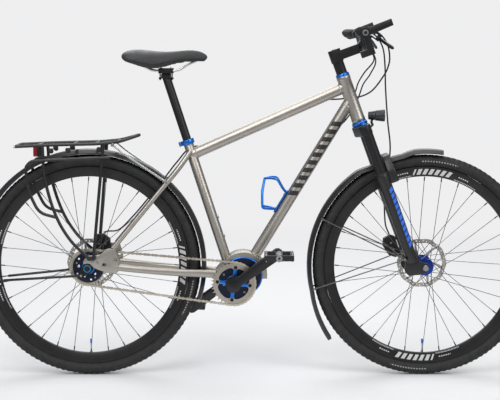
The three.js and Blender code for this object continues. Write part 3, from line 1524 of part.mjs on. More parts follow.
function brakeBody(side) {
  const outside = brakeClampInside + brakeClampWidth;
  const clamp = barTube(side * brakeClampInside, side * outside, brakeClampRadius, barSides);
  const middle = side * (brakeClampInside + brakeClampWidth / 2);
  const from = barPoint(middle).add(vec(brakeBodyReach, 0, -brakeBodyDrop));
  const to = from.clone().setY(side * (brakeClampInside + brakeBodyLength));
  const cylinder = rod(from.clone().setY(side * brakeClampInside), to, brakeBodyRadius, barSides);
  const neck = rod(barPoint(middle), from, brakeClampWidth / 2, staySides);
  const pivot = leverPivot(side);
  const ear = leverBreadth / 2 + 2 * gap;
  const root = from.clone().setY(pivot.y);
  const reach = root.clone().sub(pivot).projectOnPlane(pivotAxis);
  const yoke = [-1, 1].map((end) => {
    const plate = new THREE.BoxGeometry(reach.length() + yokeRadius, 2 * yokeRadius, yokeThickness);
    const across = pivotAxis.clone().cross(reach).normalize();
    plate.applyMatrix4(new THREE.Matrix4().makeBasis(reach.clone().normalize(), across, pivotAxis));
    const middle = pivot.clone().addScaledVector(reach, 1 / 2)
      .addScaledVector(reach.clone().normalize(), -yokeRadius / 2)
      .addScaledVector(pivotAxis, end * (ear + yokeThickness / 2));
    return plate.translate(middle.x, middle.y, middle.z);
  });
  const pin = rod(pivot.clone().addScaledVector(pivotAxis, -ear - overrun / 2),
    pivot.clone().addScaledVector(pivotAxis, ear + overrun / 2), leverPinRadius, rackSides);
  return cut(fuse(clamp, cylinder, neck, ...yoke, pin),
    barTube(side * (brakeClampInside - overrun), side * (outside + overrun), barBore, barSides));
}

function brakeLever(side) {
  const pivot = leverPivot(side);
  const ear = leverBreadth / 2;
  const eye = rod(pivot.clone().addScaledVector(pivotAxis, -ear), pivot.clone().addScaledVector(pivotAxis,
    ear),
    leverEyeRadius, staySides);
  const bar = barPoint(side * leverTipOut);
  const tip = bar.add(vec(leverTipReach, 0, -leverTipDrop));
  const squeeze = vec(-pivotAxis.z, 0, pivotAxis.x);
  const rings = leverStationShares.map(([share, bow, size]) => {
    const centre = pivot.clone().lerp(tip, share).addScaledVector(squeeze, bow * leverBow);
    return oval(centre, pivotAxis, squeeze, (leverBreadth / 2) * size, (leverThickness / 2) * size,
      leverSides);
  });
  const hole = rod(pivot.clone().addScaledVector(pivotAxis, -ear - overrun),
    pivot.clone().addScaledVector(pivotAxis, ear + overrun), leverPinRadius + 2 * gap, staySides);
  return cut(fuse(eye, loft(rings)), hole);
}

// Suspension fork, in the steering group

// A plate whose outline lies in XY, from low to high.
function plateUp(points, low, high, bevel) {
  const geometry = new THREE.ExtrudeGeometry(shapeOf(points), {
    depth: high - low - 2 * bevel,
    bevelEnabled: bevel > 0,
    bevelThickness: bevel,
    bevelSize: bevel,
    bevelOffset: -bevel,
    bevelSegments: 1,
  });
  return geometry.translate(0, 0, low + bevel);
}

const crownTop = headTubeBottom - headsetLowerHeight - gap;

function forkUpper() {
  const bottom = crownTop - crownHeight;
  const half = crownOutlineShares.map(([x, y]) => [x * crownDepth, y * legSpread]);
  const outline = [...half, ...half.map(([x, y]) => [x, -y]).reverse()];
  const parts = [
    plateUp(outline, bottom, crownTop, crownEdge),
    rod(vec(0, 0, crownTop - overrun), vec(0, 0, stemTop - stemCapHeight - gap), steererRadius, roundSides),
  ];
  for (const side of [-1, 1]) {
    const y = side * legSpread;
    parts.push(rod(vec(legForward, y, sealHeight - stanchionDepth), vec(legForward, y, bottom + overrun),
      stanchionRadius, stanchionSides));
    parts.push(rod(vec(legForward, y, crownTop - overrun), vec(legForward, y, crownTop + crownDialHeight),
      crownDialRadius, staySides));
  }
  return fuse(...parts);
}

function forkLowers() {
  const parts = [];
  const bores = [];
  for (const side of [-1, 1]) {
    const y = side * legSpread;
    const [near, far] = side > 0 ? [forkDropoutInside, forkDropoutOutside]
      : [-forkDropoutOutside, -forkDropoutInside];
    parts.push(rod(vec(legForward, y, legFoot), vec(legForward, y, sealHeight), legFootRadius, stanchionSides,
      lowerLegRadius));
    parts.push(slab(forkDropoutOutline, near, far));
    const eyeletEnd = side * (legSpread + forkEyeletOut);
    parts.push(rod(vec(forkEyeletForward, side * legSpread, forkEyeletHeight),
      vec(forkEyeletForward, eyeletEnd, forkEyeletHeight), fenderStayEyeRadius, staySides));
    parts.push(block(vec(legForward, Math.min(side * archFootInner, side * legSpread), archFootHeight),
      vec(archRear + overrun, Math.max(side * archFootInner, side * legSpread), sealHeight - sealLip)));
    bores.push(rod(vec(legForward, y, sealHeight - stanchionDepth - forkTravel - overrun),
      vec(legForward, y, sealHeight + overrun), lowerLegBore, stanchionSides));
  }
  for (const z of caliperLugHeights) {
    parts.push(rod(vec(frontCaliperFront + gap, caliperLugPlane, z), vec(legForward, caliperLugPlane, z),
      caliperLugRadius, staySides));
  }
  const half = [
    [archFootInner, archFootHeight], [archOuterHalf, archFootHeight], [archOuterHalf, archShoulder],
    [archShoulderHalf, archTop - archShoulderDrop], [archInnerHalf, archTop],
  ];
  const underside = [[archInnerHalf - archThickness / 2, archTop - archThickness],
    [archFootInner, archShoulder]];
  const mirror = (points) => points.map(([y, z]) => [-y, z]).reverse();
  const ring = [...half, ...mirror(half), ...mirror(underside), ...underside];
  const arch = new THREE.ExtrudeGeometry(shapeOf(ring), { depth: archFront - archRear, bevelEnabled: false });
  parts.push(arch.applyMatrix4(new THREE.Matrix4().makeBasis(vec(0, 1, 0), vec(0, 0, 1), vec(1, 0, 0)))
    .translate(archRear, 0, 0));
  bores.push(crossRod(forkRake, 0, -forkDropoutOutside - legSpread, forkDropoutOutside + legSpread,
    frontAxleRadius + gap, hubSegments));
  return cut(fuse(...parts), ...bores);
}

function frontAxleBody() {
  const end = forkDropoutOutside + gap;
  return fuse(crossRod(0, 0, -end - frontAxleCapThickness, end, frontAxleRadius, hubSegments),
    crossRod(0, 0, -end - frontAxleCapThickness, -end, frontAxleCapRadius, hubSegments));
}

function frontCaliper() {
  const outline = frontCaliperOutline.map(([x, z]) => [x - forkRake, z]);
  return caliper(outline, frontRotorPlane, caliperInner, frontCaliperOuter, []).translate(forkRake, 0, 0);
}

// Lamps

function headlight() {
  const back = wheelbase - headlightBehindAxle;
  const front = back + headlightLength;
  const lamp = rod(overAxle(back, 0, headlightRise), overAxle(front, 0, headlightRise), headlightBackRadius,
    hubSegments, headlightRadius);
  const foot = steerPoint(crownFrontReach + 4 * gap, 0, crownTop - crownHeight / 2);
  const knee = overAxle(back + headlightBackRadius, 0, headlightRise - headlightBackRadius / 2);
  return fuse(lamp, rod(foot, knee, headlightBracket, staySides));
}

function rearLight() {
  const top = overFender(0, 0, deckCrossStations[1][1]).z - rackTube * Math.cos(Math.PI / rackSides) - gap;
  return block(vec(-rearLightBack, -rearLightWidth / 2, top - rearLightHeight),
    vec(rearLightLength - rearLightBack, rearLightWidth / 2, top));
}

// Bottle cage

function bottleCage() {
  const at = ([up, off, y]) => downTubePoint(up, off, y);
  const parts = [];
  for (const side of [-1, 1]) {
    for (const loop of cageLoops) {
      parts.push(pipe(loop.map(([up, off, y]) => at([up, off, side * y])), cageWireRadius, cageSides,
        cageSteps));
    }
  }
  const near = downTubeRadius + gap;
  const plate = new THREE.BoxGeometry(cageHigh - cageLow, cageBackThickness, 2 * cageBackHalfWidth);
  plate.applyMatrix4(new THREE.Matrix4().makeBasis(downTubeUp, downTubeOff,
    downTubeUp.clone().cross(downTubeOff)));
  const centre = downTubePoint((cageHigh + cageLow) / 2, near + cageBackThickness / 2, 0);
  parts.push(plate.translate(centre.x, centre.y, centre.z));
  return fuse(...parts);
}

// Hoses and cables

const hose = (points) => pipe(points, hoseRadius, hoseSides, hoseSteps);
const cable = (points) => pipe(points, cableRadius, cableSides, hoseSteps);

// A place along the top tube from the seat tube, off it to the left and below.
function topTubePoint(share, left, below) {
  const from = seatPoint(0, 0, topTubeSeatHeight);
  const to = steerPoint(0, 0, topTubeHeadHeight);
  const along = to.clone().sub(from).normalize();
  const down = vec(along.z, 0, -along.x);
  return from.lerp(to, share).addScaledVector(down, below).setY(left);
}

function rearBrakeHose() {
  const points = rearHoseStart.map(([x, y, z]) => vec(x, y, z));
  const off = topTubeRadius + hoseRadius + hoseClearance;
  for (const [share, left, below] of rearHoseRunShares) points.push(topTubePoint(share, off * left,
    off * below));
  return hose([...points, ...rearHoseEnd.map(([x, y, z]) => vec(x, y, z))]);
}

function shiftCable(start, off) {
  const points = start.map(([x, y, z]) => vec(x, y, z));
  const beside = downTubeRadius + cableRadius;
  for (const up of shiftCableUps) points.push(downTubePoint(up, off, beside));
  points.push(downTubePoint(gearboxUpperRadius + bridgeThickness + overrun, off, beside));
  return cable(points);
}

// Assembly

function group(parent, position, turnY) {
  const child = new THREE.Group();
  child.position.copy(position);
  child.rotation.y = turnY;
  parent.add(child);
  return child;
}

function place(parent, name, geometry, look) {
  const mesh = new THREE.Mesh(welded(geometry), look);
  mesh.name = name;
  parent.add(mesh);
}

function build() {
  const bicycle = new THREE.Group();
  bicycle.name = "touring_bicycle";
  bicycle.position.x = -lengthMiddle;
  const steering = group(bicycle, steerOrigin, rad(headAngle - quarterTurn));
  const seat = group(bicycle, crankAxis, rad(seatAngle - quarterTurn));
  const rearWheel = group(bicycle, rearAxle, 0);
  const frontWheel = group(bicycle, frontAxle, 0);
  const drive = group(bicycle, rearAxle, driveAngle);
  const driveFront = group(bicycle, crankAxis, driveAngle);
  const rightCrank = group(bicycle, crankAxis, -rad(crankAngle));
  const leftCrank = group(bicycle, crankAxis, Math.PI - rad(crankAngle));
  const pedalReach = vec(crankLength * Math.cos(rad(crankAngle)), 0, crankLength * Math.sin(rad(crankAngle)));
  const rightPedal = group(bicycle, crankAxis.clone().add(pedalReach), 0);
  const leftPedal = group(bicycle, crankAxis.clone().sub(pedalReach), 0);

  place(bicycle, "frame", frame(), titanium);
  place(bicycle, "gearbox", gearbox(), blueAnodised);
  place(steering, "headset_upper", headsetUpper(), blueAnodised);
  place(steering, "headset_lower", headsetLower(), blueAnodised);
  place(seat, "seat_collar", seatCollar(), blueAnodised);
  place(bicycle, "rear_rack", rack(), blackPaint);
  place(bicycle, "rack_stay_right", rackStay(-1), brightSteel);
  place(bicycle, "rack_stay_left", rackStay(1), brightSteel);
  place(bicycle, "rear_light", rearLight(), blackPlastic);
  place(rearWheel, "rear_fender", rearFender(), blackPlastic);
  place(bicycle, "rear_fender_stay_right", rearFenderStay(-1), blackPaint);
  place(bicycle, "rear_fender_stay_left", rearFenderStay(1), blackPaint);
  place(bicycle, "bottle_cage", bottleCage(), blueAnodised);
  place(rearWheel, "rear_axle", rearAxleBody(), satinBlack);
  place(rearWheel, "rear_caliper", rearCaliper(), satinBlack);
  place(bicycle, "rear_brake_hose", rearBrakeHose(), blackRubber);
  place(bicycle, "shift_cable_upper", shiftCable(upperCableStart, cableApart), blackRubber);
  place(bicycle, "shift_cable_lower", shiftCable(lowerCableStart, -cableApart), blackRubber);
  place(drive, "chain", chain(), steel);

  place(bicycle, "seatpost", seatpost(), satinBlack);
  place(bicycle, "saddle_clamp", saddleClamp(), satinBlack);
  place(bicycle, "saddle_rails", saddleRails(), brightSteel);
  place(bicycle, "saddle", saddle(), saddleCover);

  place(steering, "fork_upper", forkUpper(), satinBlack);
  place(steering, "stem_spacers", spacers(), satinBlack);
  place(steering, "stem", stem(), satinBlack);
  place(steering, "stem_faceplate", stemFaceplate(), satinBlack);
  place(steering, "handlebar", handlebar(), satinBlack);
  place(steering, "grip_right", grip(-1, gripRightInside), blackRubber);
  place(steering, "grip_left", grip(1, gripLeftInside), blackRubber);
  place(steering, "bar_end_right", barEnd(-1), satinBlack);
  place(steering, "bar_end_left", barEnd(1), satinBlack);
  place(steering, "shifter_housing", shifterHousing(), blackPlastic);
  place(steering, "shifter_sleeve", shifterSleeve(), blackRubber);
  place(steering, "brake_body_right", brakeBody(-1), satinBlack);
  place(steering, "brake_body_left", brakeBody(1), satinBlack);
  place(steering, "brake_lever_right", brakeLever(-1), satinBlack);
  place(steering, "brake_lever_left", brakeLever(1), satinBlack);
  place(bicycle, "headlight", headlight(), blackPlastic);
  place(bicycle, "front_brake_hose", hose(frontHose.map(([x, y, z]) => vec(x, y, z))), blackRubber);

  place(steering, "fork_lowers", forkLowers(), blackPaint);
  place(steering, "front_axle", frontAxleBody().translate(forkRake, 0, 0), brightSteel);
  place(steering, "front_caliper", frontCaliper(), satinBlack);
  place(frontWheel, "front_fender", frontFender(), blackPlastic);
  place(bicycle, "front_fender_stay_right", frontFenderStay(-1), blackPaint);
  place(bicycle, "front_fender_stay_left", frontFenderStay(1), blackPaint);

  place(frontWheel, "front_tyre", tyre(), blackRubber);
  place(frontWheel, "front_rim", rim(), satinBlack);
  place(frontWheel, "front_hub", hub(-frontHubHalfWidth, frontHubHalfWidth, frontFlangeRight, frontFlangeLeft,
    frontRotorPlane, frontAxleRadius + axleClearance, hubEndRadius), blueAnodised);
  place(frontWheel, "front_rotor", rotor(frontRotorPlane), brightSteel);

  place(rearWheel, "rear_tyre", tyre(), blackRubber);
  place(rearWheel, "rear_rim", rim(), satinBlack);
  place(rearWheel, "rear_hub", hub(rearHubRight, rearHubLeft, rearFlangeRight, rearFlangeLeft, rearRotorPlane,
    rearAxleRadius + axleClearance, sprocketSleeveRadius), blueAnodised);
  place(rearWheel, "rear_rotor", rotor(rearRotorPlane), brightSteel);

  place(rightCrank, "crank_right", crankRight(), satinBlack);
  place(leftCrank, "crank_left", crankLeft(), satinBlack);
  place(driveFront, "chainring", chainring(), blueAnodised);
  place(drive, "sprocket", sprocket(), brightSteel);
  place(rightPedal, "pedal_right", pedal(), blackPlastic);
  place(leftPedal, "pedal_left", mirrored(pedal()), blackPlastic);
  return bicycle;
}

export default build();
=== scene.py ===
"""Dresses the touring bicycle: smooth tubes, treaded tyres, laced wheels, chain, padded saddle and their finishes."""

from contextlib import contextmanager
from math import asin, atan2, copysign, cos, hypot, pi, radians, sin, sqrt, tau

import bmesh
import bpy
from bpy.props import FloatProperty, FloatVectorProperty, IntProperty, PointerProperty
from mathutils import Matrix, Vector


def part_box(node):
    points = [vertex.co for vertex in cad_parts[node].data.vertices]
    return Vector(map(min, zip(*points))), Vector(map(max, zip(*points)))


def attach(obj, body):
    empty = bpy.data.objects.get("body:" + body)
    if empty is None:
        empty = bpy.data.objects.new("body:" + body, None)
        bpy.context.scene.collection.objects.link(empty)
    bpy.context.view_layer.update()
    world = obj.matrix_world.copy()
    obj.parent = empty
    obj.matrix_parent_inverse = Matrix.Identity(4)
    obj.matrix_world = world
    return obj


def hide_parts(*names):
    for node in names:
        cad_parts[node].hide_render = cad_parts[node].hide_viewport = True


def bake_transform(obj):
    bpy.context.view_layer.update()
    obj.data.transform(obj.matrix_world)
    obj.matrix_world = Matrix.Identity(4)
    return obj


bl_info = {
    "name": "Touring bicycle",
    "version": (1, 0, 0),
    "blender": (4, 5, 0),
    "location": "3D View > Sidebar > Bicycle",
    "description": "Builds the visible pieces of a touring bicycle round its CAD frame",
    "category": "Add Mesh",
}

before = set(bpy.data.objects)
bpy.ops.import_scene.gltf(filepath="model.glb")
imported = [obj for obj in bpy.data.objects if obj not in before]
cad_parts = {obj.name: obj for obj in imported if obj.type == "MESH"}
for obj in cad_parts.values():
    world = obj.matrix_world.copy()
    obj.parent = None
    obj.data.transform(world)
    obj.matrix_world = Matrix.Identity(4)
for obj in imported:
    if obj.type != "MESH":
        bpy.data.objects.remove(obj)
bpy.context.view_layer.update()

# Drawing lengths are in millimetres, in bicycle coordinates whose X starts at the rear axle.
MM = 0.001
LENGTH_MIDDLE = 524.25
UP = Vector((0, 0, 1))
LEFT = Vector((0, 1, 0))
AHEAD = Vector((1, 0, 0))
SIDES = ((-1, "right"), (1, "left"))


def at(x, y, z):
    return Vector(((x - LENGTH_MIDDLE) * MM, y * MM, z * MM))


def slanted(angle):
    """Forward and up directions of an axis that leans back from the ground by an angle."""
    lean = radians(angle)
    return Vector((sin(lean), 0, cos(lean))), Vector((-cos(lean), 0, sin(lean)))


WHEEL_RADIUS = 355
FORK_OFFSET = 40
REAR_AXLE = at(0, 0, WHEEL_RADIUS)
FRONT_AXLE = at(1066.5, 0, WHEEL_RADIUS)
CRANK_AXIS = at(460.34, 0, 302)
CRANK_ANGLE = radians(36)
CRANK_LENGTH = 175 * MM
STEER_FORWARD, STEER_UP = slanted(70)
SEAT_FORWARD, SEAT_UP = slanted(72)
STEER_ORIGIN = FRONT_AXLE - STEER_FORWARD * FORK_OFFSET * MM


def steer(forward, y, up):
    return STEER_ORIGIN + (STEER_FORWARD * forward + LEFT * y + STEER_UP * up) * MM


def seat(forward, y, up):
    return CRANK_AXIS + (SEAT_FORWARD * forward + LEFT * y + SEAT_UP * up) * MM


LEG_FORWARD, LEG_SIDE = 8, 65


def leg(side, up):
    """A point on a fork leg's axis."""
    return steer(LEG_FORWARD, side * LEG_SIDE, up)


# The gearbox joins the crank axis and a shaft above and ahead of it.
SHAFT_X, SHAFT_Z = 29.6, 23
GEARBOX_UPPER = CRANK_AXIS + Vector((SHAFT_X, 0, SHAFT_Z)) * MM
HEAD_TUBE_LOW = steer(0, 0, 504.4)
TOP_TUBE_REAR, TOP_TUBE_FRONT = seat(0, 0, 428), steer(0, 0, 620.7)
TOP_TUBE_ALONG = (TOP_TUBE_FRONT - TOP_TUBE_REAR).normalized()
DOWN_TUBE_TOP = steer(0, 0, 578)
DOWN_TUBE_UP = (DOWN_TUBE_TOP - GEARBOX_UPPER).normalized()
DOWN_TUBE_OFF = Vector((-DOWN_TUBE_UP.z, 0, DOWN_TUBE_UP.x))


def down_tube(up, off, y):
    return GEARBOX_UPPER + (DOWN_TUBE_UP * up + DOWN_TUBE_OFF * off + LEFT * y) * MM


def top_tube(share, left, below):
    down = Vector((TOP_TUBE_ALONG.z, 0, -TOP_TUBE_ALONG.x))
    return TOP_TUBE_REAR.lerp(TOP_TUBE_FRONT, share) + (down * below + LEFT * left) * MM


BAR_RADIUS, BAR_BEND, BAR_END = 11.1, 110, 306


def bar_point(y):
    """Centre of the handlebar's straight end, y to the left."""
    share = (abs(y) - BAR_BEND) / (BAR_END - BAR_BEND)
    return steer(97 - 10 * share, y, 762 + 3 * share)


# Settings


class WheelSettings(bpy.types.PropertyGroup):
    tyre_width: FloatProperty(
        name="Tyre width", description="Width of the tyres", default=0.046, unit="LENGTH", subtype="DISTANCE")
    spoke_radius: FloatProperty(
        name="Spoke radius", description="Radius of each spoke", default=0.001, unit="LENGTH", subtype="DISTANCE")
    tread_rows: IntProperty(
        name="Tread blocks", description="Blocks round the tyre in each row", default=120, min=24, max=200)
    steps: IntProperty(
        name="Wheel steps", description="Faces round a tyre or rim", default=144, min=48, max=256)


class FrameSettings(bpy.types.PropertyGroup):
    top_tube_radius: FloatProperty(
        name="Top tube radius", description="Radius of the top tube", default=0.0175, unit="LENGTH",
        subtype="DISTANCE")
    down_tube_radius: FloatProperty(
        name="Down tube radius", description="Radius of the down tube", default=0.018, unit="LENGTH",
        subtype="DISTANCE")
    seat_tube_radius: FloatProperty(
        name="Seat tube radius", description="Radius of the seat tube", default=0.0159, unit="LENGTH",
        subtype="DISTANCE")
    rack_tube_radius: FloatProperty(
        name="Rack tube radius", description="Radius of the rack's tubes", default=0.005, unit="LENGTH",
        subtype="DISTANCE")
    hose_radius: FloatProperty(
        name="Hose radius", description="Radius of the brake hoses", default=0.0025, unit="LENGTH",
        subtype="DISTANCE")


class FinishSettings(bpy.types.PropertyGroup):
    titanium: FloatVectorProperty(
        name="Titanium", description="Colour of the bare frame", default=(0.43, 0.4, 0.36), size=3,
        subtype="COLOR", min=0, max=1)
    accent: FloatVectorProperty(
        name="Accent", description="Colour of the bright anodised parts", default=(0.03, 0.2, 0.72), size=3,
        subtype="COLOR", min=0, max=1)
    hub: FloatVectorProperty(
        name="Hub", description="Colour of the anodised hubs", default=(0.015, 0.06, 0.42), size=3,
        subtype="COLOR", min=0, max=1)
    black: FloatVectorProperty(
        name="Black", description="Colour of the black coatings", default=(0.009, 0.009, 0.0095), size=3,
        subtype="COLOR", min=0, max=1)
    saddle: FloatVectorProperty(
        name="Saddle", description="Colour of the saddle cover", default=(0.014, 0.014, 0.015), size=3,
        subtype="COLOR", min=0, max=1)


class StageSettings(bpy.types.PropertyGroup):
    camera_distance: FloatProperty(
        name="Camera distance", description="From the camera to its target", default=4.3, unit="LENGTH",
        subtype="DISTANCE")
    camera_pitch: FloatProperty(
        name="Camera pitch", description="How far the camera looks down", default=radians(6.5),
        subtype="ANGLE", unit="ROTATION")
    floor: FloatVectorProperty(
        name="Floor", description="Colour of the floor", default=(0.8, 0.8, 0.8), size=3, subtype="COLOR",
        min=0, max=1)


GROUPS = (
    ("bicycle_wheels", WheelSettings),
    ("bicycle_frame", FrameSettings),
    ("bicycle_finishes", FinishSettings),
    ("bicycle_stage", StageSettings),
)


# Modelling

MERGED = 1e-6
CORNER_ANGLE = radians(38)
PLATE_CORNER_ANGLE = radians(40)
FLAT_ANGLE = radians(2)


def fresh():
    bpy.ops.object.select_all(action="DESELECT")


def only(obj):
    fresh()
    obj.select_set(True)
    bpy.context.view_layer.objects.active = obj


@contextmanager
def editing(obj):
    """Edit mode on one piece with all of it selected."""
    only(obj)
    bpy.ops.object.mode_set(mode="EDIT")
    bpy.ops.mesh.select_all(action="SELECT")
    yield
    bpy.ops.object.mode_set(mode="OBJECT")


def merge(threshold=MERGED):
    bpy.ops.mesh.select_all(action="SELECT")
    bpy.ops.mesh.remove_doubles(threshold=threshold)


def outward():
    bpy.ops.mesh.select_all(action="SELECT")
    bpy.ops.mesh.normals_make_consistent(inside=False)


def modify(obj, kind, **values):
    """Adds a modifier and applies it."""
    only(obj)
    modifier = obj.modifiers.new(kind.title(), kind)
    for name, value in values.items():
        setattr(modifier, name, value)
    bpy.ops.object.modifier_apply(modifier=modifier.name)
    return obj


def carve(obj, *tools):
    """Takes the tools out of the piece."""
    for tool in tools:
        modify(obj, "BOOLEAN", operation="DIFFERENCE", object=tool, solver="EXACT")
        bpy.data.objects.remove(tool)
    return obj


def join(*objs):
    fresh()
    for obj in objs:
        obj.select_set(True)
    bpy.context.view_layer.objects.active = objs[0]
    bpy.ops.object.join()
    return bpy.context.active_object


def place_mesh(obj, matrix):
    obj.data.transform(matrix)
    if matrix.determinant() < 0:
        obj.data.flip_normals()
    return obj


def facing(base, axis):
    turn = UP.rotation_difference(Vector(axis).normalized()).to_matrix().to_4x4()
    return Matrix.Translation(base) @ turn


def basis(x, y, z, base):
    return Matrix.Translation(base) @ Matrix((x, y, z)).transposed().to_4x4()


def steer_side(y):
    return basis(STEER_FORWARD, STEER_UP, -LEFT, STEER_ORIGIN + LEFT * y * MM)


def steer_front(forward):
    return basis(LEFT, STEER_UP, STEER_FORWARD, STEER_ORIGIN + STEER_FORWARD * forward * MM)


def turns(count, start=0.0):
    """Equal angles round a circle."""
    return [start + tau * k / count for k in range(count)]


def polar(turn, radius):
    """A point at an angle and a radius."""
    return radius * cos(turn), radius * sin(turn)


def circle(radius, count, x=0, y=0):
    return [(x + a, y + b) for a, b in (polar(t, radius) for t in turns(count))]


def mirrored(points, across=True):
    """An outline and its mirror image: across the first axis, or else the second."""
    return points + [(x, -y) if across else (-x, y) for x, y in points[::-1]]


def arc(before, corner, after, bend, steps):
    """A small arc that takes a corner's place."""
    back, ahead = before - corner, after - corner
    reach = min(bend, back.length * 0.45, ahead.length * 0.45)
    start, end = corner + back.normalized() * reach, corner + ahead.normalized() * reach
    shares = [k / steps for k in range(steps + 1)]
    return [start * (1 - t) ** 2 + corner * 2 * t * (1 - t) + end * t**2 for t in shares]


def rounded(points, bend):
    """A run of points with an arc at each inner corner."""
    made = [points[0]]
    for before, corner, after in zip(points, points[1:], points[2:]):
        made += arc(before, corner, after, bend, 6)
    return made + [points[-1]]


def softened(points, bend, steps=4):
    """A closed outline with an arc at each corner."""
    points = [Vector(point) for point in points]
    made = []
    for k, corner in enumerate(points):
        made += arc(points[k - 1], corner, points[(k + 1) % len(points)], bend, steps)
    return [tuple(point) for point in made]


def smooth_path(points, each=6):
    """A smooth line through the points, with so many steps from each to the next."""

    def between(a, b, start, end, t):
        return a * ((end - t) / (end - start)) + b * ((t - start) / (end - start))

    made = []
    ends = [points[0] * 2 - points[1], *points, points[-1] * 2 - points[-2]]
    for a, b, c, d in zip(ends, ends[1:], ends[2:], ends[3:]):
        ta = 0.0
        tb = ta + max((b - a).length, 1e-6) ** 0.5
        tc = tb + max((c - b).length, 1e-6) ** 0.5
        td = tc + max((d - c).length, 1e-6) ** 0.5
        for k in range(each):
            t = tb + (tc - tb) * k / each
            p, q, r = between(a, b, ta, tb, t), between(b, c, tb, tc, t), between(c, d, tc, td, t)
            made.append(between(between(p, q, ta, tc, t), between(q, r, tb, td, t), tb, tc, t))
    made.append(points[-1])
    return made


def belt(ax, az, ra, bx, bz, rb, steps):
    """The outline of a belt round two circles."""
    along = atan2(bz - az, bx - ax)
    lean = asin((rb - ra) / hypot(bx - ax, bz - az))
    points = []
    for x, z, radius, start, sweep in ((bx, bz, rb, along - pi / 2 - lean, pi + 2 * lean),
                                       (ax, az, ra, along + pi / 2 + lean, pi - 2 * lean)):
        for k in range(steps + 1):
            a, b = polar(start + k / steps * sweep, radius)
            points.append((x + a, z + b))
    return points


def outline(points):
    """A closed loop of vertices, from a circle whose points are put in place."""
    fresh()
    bpy.ops.mesh.primitive_circle_add(vertices=len(points), radius=0.01)
    obj = bpy.context.active_object
    for vertex, point in zip(obj.data.vertices, points):
        vertex.co = point
    return obj


def turned(profile, base, axis, steps=48):
    """Spins a closed outline of (radius, height) about the axis through base."""
    obj = outline([(r * MM, 0, h * MM) for r, h in profile])
    with editing(obj):
        bpy.ops.mesh.spin(steps=steps, angle=tau, center=(0, 0, 0), axis=(0, 0, 1))
        merge()
        bpy.ops.mesh.dissolve_degenerate(threshold=MERGED)
        outward()
    return place_mesh(obj, facing(base, axis))


def around(obj, base, axis, count):
    """Repeats the mesh count times round an axis."""
    with editing(obj):
        bpy.ops.mesh.spin(steps=count, dupli=True, angle=tau, center=base, axis=axis)
        merge()
    return obj


def copies(obj, matrices):
    """One piece that holds the modelled shape once for each matrix."""
    made = bmesh.new()
    for matrix in matrices:
        mesh = obj.data.copy()
        mesh.transform(matrix)
        made.from_mesh(mesh)
        bpy.data.meshes.remove(mesh)
    made.to_mesh(obj.data)
    made.free()
    obj.data.update()
    return obj


def block(low, high):
    """A box between two corners."""
    fresh()
    bpy.ops.mesh.primitive_cube_add(size=1)
    matrix = Matrix.Translation((low + high) / 2) @ Matrix.Diagonal((*(high - low), 1))
    return place_mesh(bpy.context.active_object, matrix)


def rod(start, end, radius, sides=24):
    """A round bar from one point to another."""
    fresh()
    span = end - start
    bpy.ops.mesh.primitive_cone_add(vertices=sides, radius1=radius, radius2=radius, depth=span.length)
    return place_mesh(bpy.context.active_object, facing(start + span / 2, span))


def tube(points, radius, sides=16, shares=None):
    """A round tube along a line of points, its radius scaled by shares where given."""
    fresh()
    bpy.ops.curve.primitive_nurbs_path_add()
    curve = bpy.context.active_object.data
    curve.splines.clear()
    spline = curve.splines.new("POLY")
    spline.points.add(len(points) - 1)
    for k, point in enumerate(points):
        spline.points[k].co = (*point, 1)
        spline.points[k].radius = shares[k] if shares else 1
    curve.dimensions = "3D"
    curve.bevel_depth = radius
    curve.bevel_resolution = sides // 2 - 2
    curve.use_fill_caps = True
    bpy.ops.object.convert(target="MESH")
    obj = bpy.context.active_object
    with editing(obj):
        merge()
        outward()
    return obj


def plate(points, depth, matrix, bevel=0, segments=2, base=(0, 0)):
    """A plate from its outline in drawing millimetres about a base, its edges softened, placed by a matrix."""
    obj = outline([(base[0] + x * MM, base[1] + y * MM, 0) for x, y in points])
    with editing(obj):
        bpy.ops.mesh.edge_face_add()
        bpy.ops.mesh.extrude_region_move(TRANSFORM_OT_translate={"value": (0, 0, depth)})
        outward()
    if bevel:
        modify(obj, "BEVEL", width=bevel, segments=segments, limit_method="ANGLE", angle_limit=PLATE_CORNER_ANGLE)
    return place_mesh(obj, matrix)


def side_plate(points, axis, y, depth, bevel=0, segments=2):
    """A plate drawn in XZ about an axis, from the side plane at y toward the right."""
    matrix = Matrix(((1, 0, 0, 0), (0, 0, -1, y), (0, 1, 0, 0), (0, 0, 0, 1)))
    return plate(points, depth, matrix, bevel, segments, (axis.x, axis.z))


def loft(rings):
    """A closed skin through rings of points, from a grid whose seam is merged and whose ends are filled."""
    count = len(rings[0])
    fresh()
    bpy.ops.mesh.primitive_grid_add(x_subdivisions=count, y_subdivisions=len(rings) - 1)
    obj = bpy.context.active_object
    for k, ring in enumerate(rings):
        for i in range(count + 1):
            obj.data.vertices[k * (count + 1) + i].co = ring[i % count]
    with editing(obj):
        merge()
        bpy.ops.mesh.fill_holes(sides=0)
        outward()
    return obj


def screw(point, axis, radius, height=0.002):
    """A socket-head bolt with a recess."""
    r, h = radius / MM, height / MM
    return turned([(0, 0), (r, 0), (r, h * 0.75), (r * 0.9, h), (r * 0.55, h), (r * 0.5, h * 0.4), (0, h * 0.4)],
                  point, axis, 12)


def dressed(node, bevel=0.0008, segments=3):
    """A copy of a CAD node, its doubles merged, its flats cleaned and its edges rounded."""
    obj = bpy.data.objects.new(node + "_copy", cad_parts[node].data.copy())
    bpy.context.scene.collection.objects.link(obj)
    obj.data.materials.clear()
    only(obj)
    bpy.ops.mesh.customdata_custom_splitnormals_clear()
    with editing(obj):
        merge(1e-5)
        bpy.ops.mesh.dissolve_limited(angle_limit=FLAT_ANGLE)
    if bevel:
        modify(obj, "BEVEL", width=bevel, segments=segments, limit_method="ANGLE", angle_limit=CORNER_ANGLE,
               miter_outer="MITER_ARC")
    return obj


